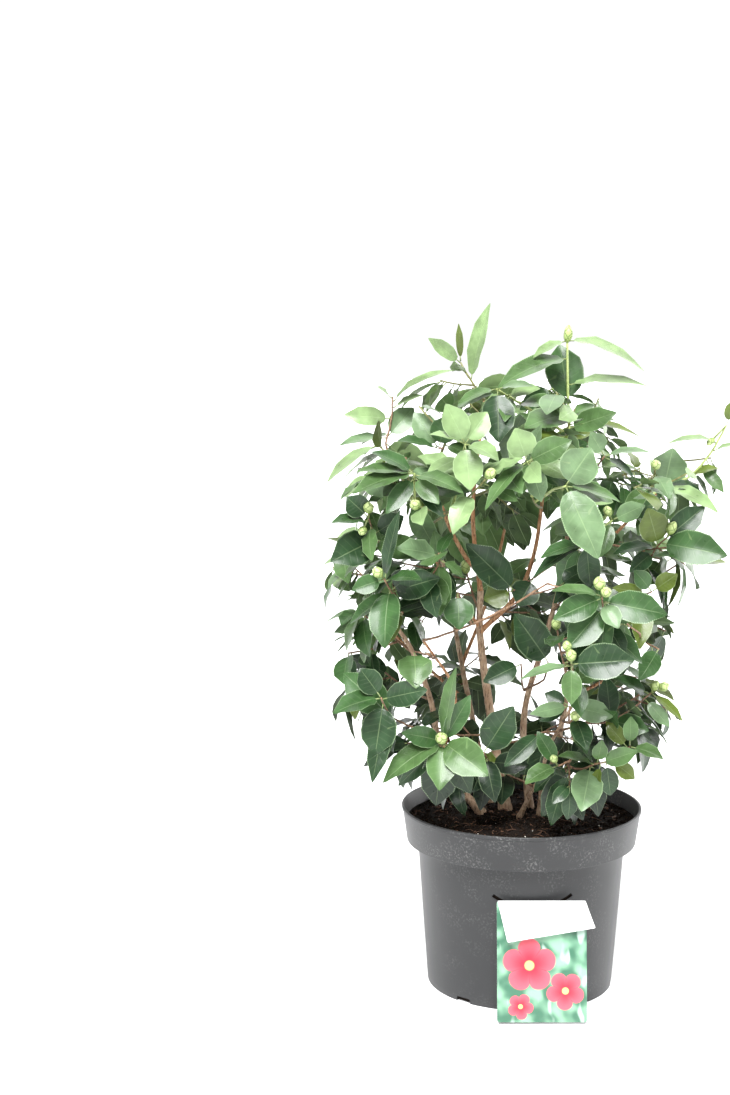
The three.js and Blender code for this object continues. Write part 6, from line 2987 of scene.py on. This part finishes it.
@dataclass
class Foliage:
    """The twigs, leaf stalks, leaves and buds of all the masses, each kind in one piece."""

    masses: Sequence[Mass]
    sprigs: Sequence[Sprig]
    seed: int = 909
    green_above: float = 560.0
    girths: tuple[float, float, float] = (0.86, 0.86, 1.05)
    twig_marks: int = 6
    twig_pitch: float = 9.0
    twig_crook: float = 0.5
    twig_foot: float = 1.25
    stalk_marks: tuple[float, float, float] = (0.2, 0.6, 1.25)
    stalk_drops: tuple[float, float, float] = (-0.3, -0.3, -0.25)
    stalk_radii: tuple[float, float, float] = (0.95, 0.75, 0.6)
    bud_stalk: tuple[float, float] = (1.1, 1.5)
    stations: int = 8
    border: float = 0.999
    skew: float = 0.92
    tip_from: float = 0.66
    tip_cut: float = 0.52
    roundness: float = 0.57
    ripples: float = 15.0
    ripple_shift: float = 40.0
    upper_half: float = 0.5
    under_half: tuple[float, float] = (1.1, 0.6)
    vein_green: tuple[float, float, float] = (0.45, 0.6, 0.3)
    vein_share: float = 0.55
    rim_green: tuple[float, float, float] = (0.5, 0.66, 0.38)
    rim_share: float = 0.45
    spray_tone: float = 0.12
    leaf_tone: float = 0.17
    olive_share: float = 0.05
    # Tints by height and reach are partly leaf age, partly painted light: paler and sheened above and
    # outside, painted shade below and inside.
    tone_floor: float = 260.0
    tone_height: float = 540.0
    tone_reach: float = 0.4
    tone_base: float = 0.15
    tone_limits: tuple[tuple[float, Tint], ...] = (
        (0.17, SHADE), (0.42, DEEP), (0.58, MID), (0.72, FRESH), (0.8, ASH))
    bud_lobes: float = 2.5
    bud_twist: float = 5.0
    bud_swell: float = 0.05
    bud_taper: float = 0.28

    def __post_init__(self) -> None:
        """Lists all that bears leaves."""
        self.bearers = (*self.masses, *self.sprigs)
        self.random = Seeded(self.seed)

    def build(self) -> None:
        """Makes the four pieces."""
        self._twigs()
        self._stalks()
        self._leaves()
        self._buds()

    def _twigs(self) -> None:
        """The stems and side twigs, each one colour: brown, green on high masses, pale green on young
        shoots.
        """
        brown = Bark("twig_bark", (0.05, 0.024, 0.014), (0.16, 0.085, 0.045), (0.28, 0.17, 0.1),
                     shine=0.6)
        green = GreenSkin("green_twig", (0.1, 0.1, 0.035), (0.22, 0.22, 0.08))
        pale = GreenSkin("pale_twig", (0.26, 0.33, 0.1), (0.42, 0.5, 0.19))
        bundle = Bundle("twigs", 6, brown.build(), green.build(), pale.build())
        greens = {spray.line for spray in SPRAYS if spray.green}
        looks = [2 if mass.shoot.name in greens else int(mass.shoot.tip[2] > self.green_above)
                 for mass in self.masses]
        drawn = [(twig, end, look) for mass, look in zip(self.masses, looks)
                 for twig, end in zip(mass.twigs, mass.ends) if end]
        drawn += [(sprig.twig, 1.0, 2 * int(sprig.spray.green))
                  for sprig in self.sprigs if not sprig.borne]
        for twig, end, look in drawn:
            marks = max(self.twig_marks, round(end * twig.length / self.twig_pitch))
            shares = np.linspace(0.0, end, marks)
            points = twig.route.spread(shares)
            crook = np.array([[self.random.around(self.twig_crook) for _ in range(3)]
                              for _ in shares])
            crook[0] = crook[-1] = 0.0
            radii = [twig.radius(share) * self.girths[look] for share in shares]
            radii[0] *= self.twig_foot
            bundle.add(list(points + crook), radii, look)
        publish(bundle.build(), [])

    def _stalks(self) -> None:
        """The leaf stalks."""
        skin = GreenSkin("leaf_stalk", (0.13, 0.17, 0.055), (0.25, 0.31, 0.12))
        bundle = Bundle("leaf_stalks", 4, skin.build())
        marks, drops = np.array(self.stalk_marks), np.array(self.stalk_drops)
        for blade in (blade for grown in self.bearers for blade in grown.blades):
            points = blade.place(marks * blade.petiole, np.zeros(len(marks)), drops)
            bundle.add(list(points), self.stalk_radii)
        for bud in (bud for sprig in self.sprigs for bud in sprig.buds):
            bundle.add([bud.foot, bud.centre], self.bud_stalk)
        publish(bundle.build(), [])

    def _pattern(self) -> BMesh:
        """Makes a flat leaf of unit length and half width, its top over its underside.

        Returns:
            The leaf. Its x is the share across, its y the share along and its z 1 on top,
            -1 below and 0 at the rim.
        """
        shape = bmesh.new()
        lay = shape.loops.layers.uv.new(UV_NAME)
        for columns, level, look in ((4, 1.0, 0), (2, -1.0, 1)):
            made = bmesh.ops.create_grid(shape, x_segments=columns, y_segments=self.stations,
                                         size=1.0)["verts"]
            for vert in made:
                at_end, on_rim = abs(vert.co.y) > self.border, abs(vert.co.x) > self.border
                vert.co.z = 0.0 if on_rim or at_end else level
                vert.co.y = math.sin(vert.co.y * math.pi / 2)
                if at_end:
                    vert.co.x = 0.0
            faces = {face for vert in made for face in vert.link_faces}
            for face in faces:
                face.material_index = look
            if level < 0:
                bmesh.ops.reverse_faces(shape, faces=list(faces))
        bmesh.ops.translate(shape, vec=(0.0, 1.0, 0.0), verts=shape.verts)
        bmesh.ops.scale(shape, vec=(1.0, 0.5, 1.0), verts=shape.verts)
        bmesh.ops.remove_doubles(shape, verts=shape.verts, dist=1e-4)
        for face in shape.faces:
            for loop in face.loops:
                loop[lay].uv = (loop.vert.co.x / 2 + 0.5, loop.vert.co.y)
        for edge in shape.edges:
            looks = {face.material_index for face in edge.link_faces}
            edge.smooth = len(looks) < 2
        return shape

    def _outline(self, along: Array) -> Array:
        """Draws the blade's outline: oval, drawn out to a narrow tip.

        Args:
            along: Shares of the length.

        Returns:
            The half widths there.
        """
        skewed = along ** self.skew
        oval = (4 * skewed * (1 - skewed)).clip(0.0) ** self.roundness
        late = ((along - self.tip_from) / (1 - self.tip_from)).clip(0.0, 1.0)
        return oval * (1 - self.tip_cut * late * late * (3 - 2 * late))

    def _leaves(self) -> None:
        """The leaves."""
        flock = Flock(self._pattern())
        across, along, level = flock.points.T
        outline = self._outline(along)
        foot, taper = self.under_half
        thick = np.where(level > 0, self.upper_half, foot - taper * along) * LEAF.thickness
        for grown in self.bearers:
            tone = self.random.around(self.spray_tone)
            for blade in grown.blades:
                u = blade.petiole + along * (blade.length - blade.petiole)
                waves = np.sin(along * self.ripples + self.ripple_shift * blade.wave)
                ripple = blade.wave * blade.width * waves * across ** 2 * outline
                points = blade.place(u, across * outline * blade.width / 2,
                                     level * thick + ripple)
                tint = blade.tint or self._tint(points, tone)
                flock.add(points, 2 * TINTS.index(tint))
        skins = []
        for tint in TINTS:
            name, (top, under) = f"leaf_{tint.name.lower()}", tint.value
            vein = tuple(lerp(c, d, self.vein_share) for c, d in zip(top, self.vein_green))
            rim = tuple(lerp(c, d, self.rim_share) for c, d in zip(top, self.rim_green))
            upper = LeafSkin(name, top, vein, rim, shine=0.27, coat=0.22, vein_share=0.25)
            lower = LeafSkin(name + "_under", under, vein, rim, shine=0.5, coat=0.0,
                             vein_share=0.8)
            skins += [upper.build(), lower.build()]
        nodes = [f"foliage_{mass.shoot.name}" for mass in self.masses]
        publish(flock.build("leaves"), skins, nodes)

    def _tint(self, points: Array, tone: float) -> Tint:
        """Deals a leaf its tint: darker low down and inside, fresher and paler outside and at the top.

        Args:
            points: The leaf's points.
            tone: How fresh its whole spray is.

        Returns:
            The tint.
        """
        middle = points.mean(axis=0)
        reach = math.hypot(middle[0], middle[1]) / PLAN.farthest
        height = (middle[2] - self.tone_floor) / self.tone_height
        # Height and reach raise the score: painted light at the top and outside, painted shade low down
        # and inside, on top of leaf age.
        score = height + self.tone_reach * reach - self.tone_base + tone
        score += self.random.around(self.leaf_tone)
        if self.random.next() < self.olive_share:
            return OLIVE
        return next((tint for limit, tint in self.tone_limits if score < limit), PALE)

    def _buds(self) -> None:
        """The flower buds, egg-shaped with overlapping scales."""
        shape = bmesh.new()
        bmesh.ops.create_uvsphere(shape, u_segments=10, v_segments=9, radius=1.0)
        for vert in shape.verts:
            angle = math.atan2(vert.co.y, vert.co.x)
            swell = 1.0 + self.bud_swell * math.sin(self.bud_lobes * angle
                                                    + self.bud_twist * vert.co.z)
            taper = 1.0 - self.bud_taper * max(0.0, vert.co.z) ** 2
            vert.co.x *= swell * taper
            vert.co.y *= swell * taper
        lay = shape.loops.layers.uv.new(UV_NAME)
        for face in shape.faces:
            heart = face.calc_center_median()
            facing = math.atan2(heart.y, heart.x)
            for loop in face.loops:
                co = loop.vert.co
                at_pole = math.hypot(co.x, co.y) < 0.01
                angle = facing if at_pole else math.atan2(co.y, co.x)
                angle += math.tau * round((facing - angle) / math.tau)
                loop[lay].uv = (angle / math.tau, co.z / 2 + 0.5)
        flock = Flock(shape)
        for bud in (bud for grown in self.bearers for bud in grown.buds):
            turn = np.array(Vector(bud.axis).to_track_quat("Z", "Y").to_matrix())
            points = flock.points * (1.0, 1.0, bud.stretch)
            flock.add(points @ turn.T * BUD_RADIUS * bud.size + bud.centre)
        publish(flock.build("flower_buds"), [BudScales().build()])


def main() -> None:
    """Builds the studio, the pot with its card and compost, and the plant."""
    logging.basicConfig(level=logging.INFO, format="%(name)s: %(message)s")
    Studio().build()
    Pot(POT).build()
    Soil(SOIL, POT).build()
    Card(CARD, POT).build()
    limbs = grow_limbs()
    Wood(limbs).build()
    Foliage(*grow_crown(limbs)).build()


if __name__ == "__main__":
    main()
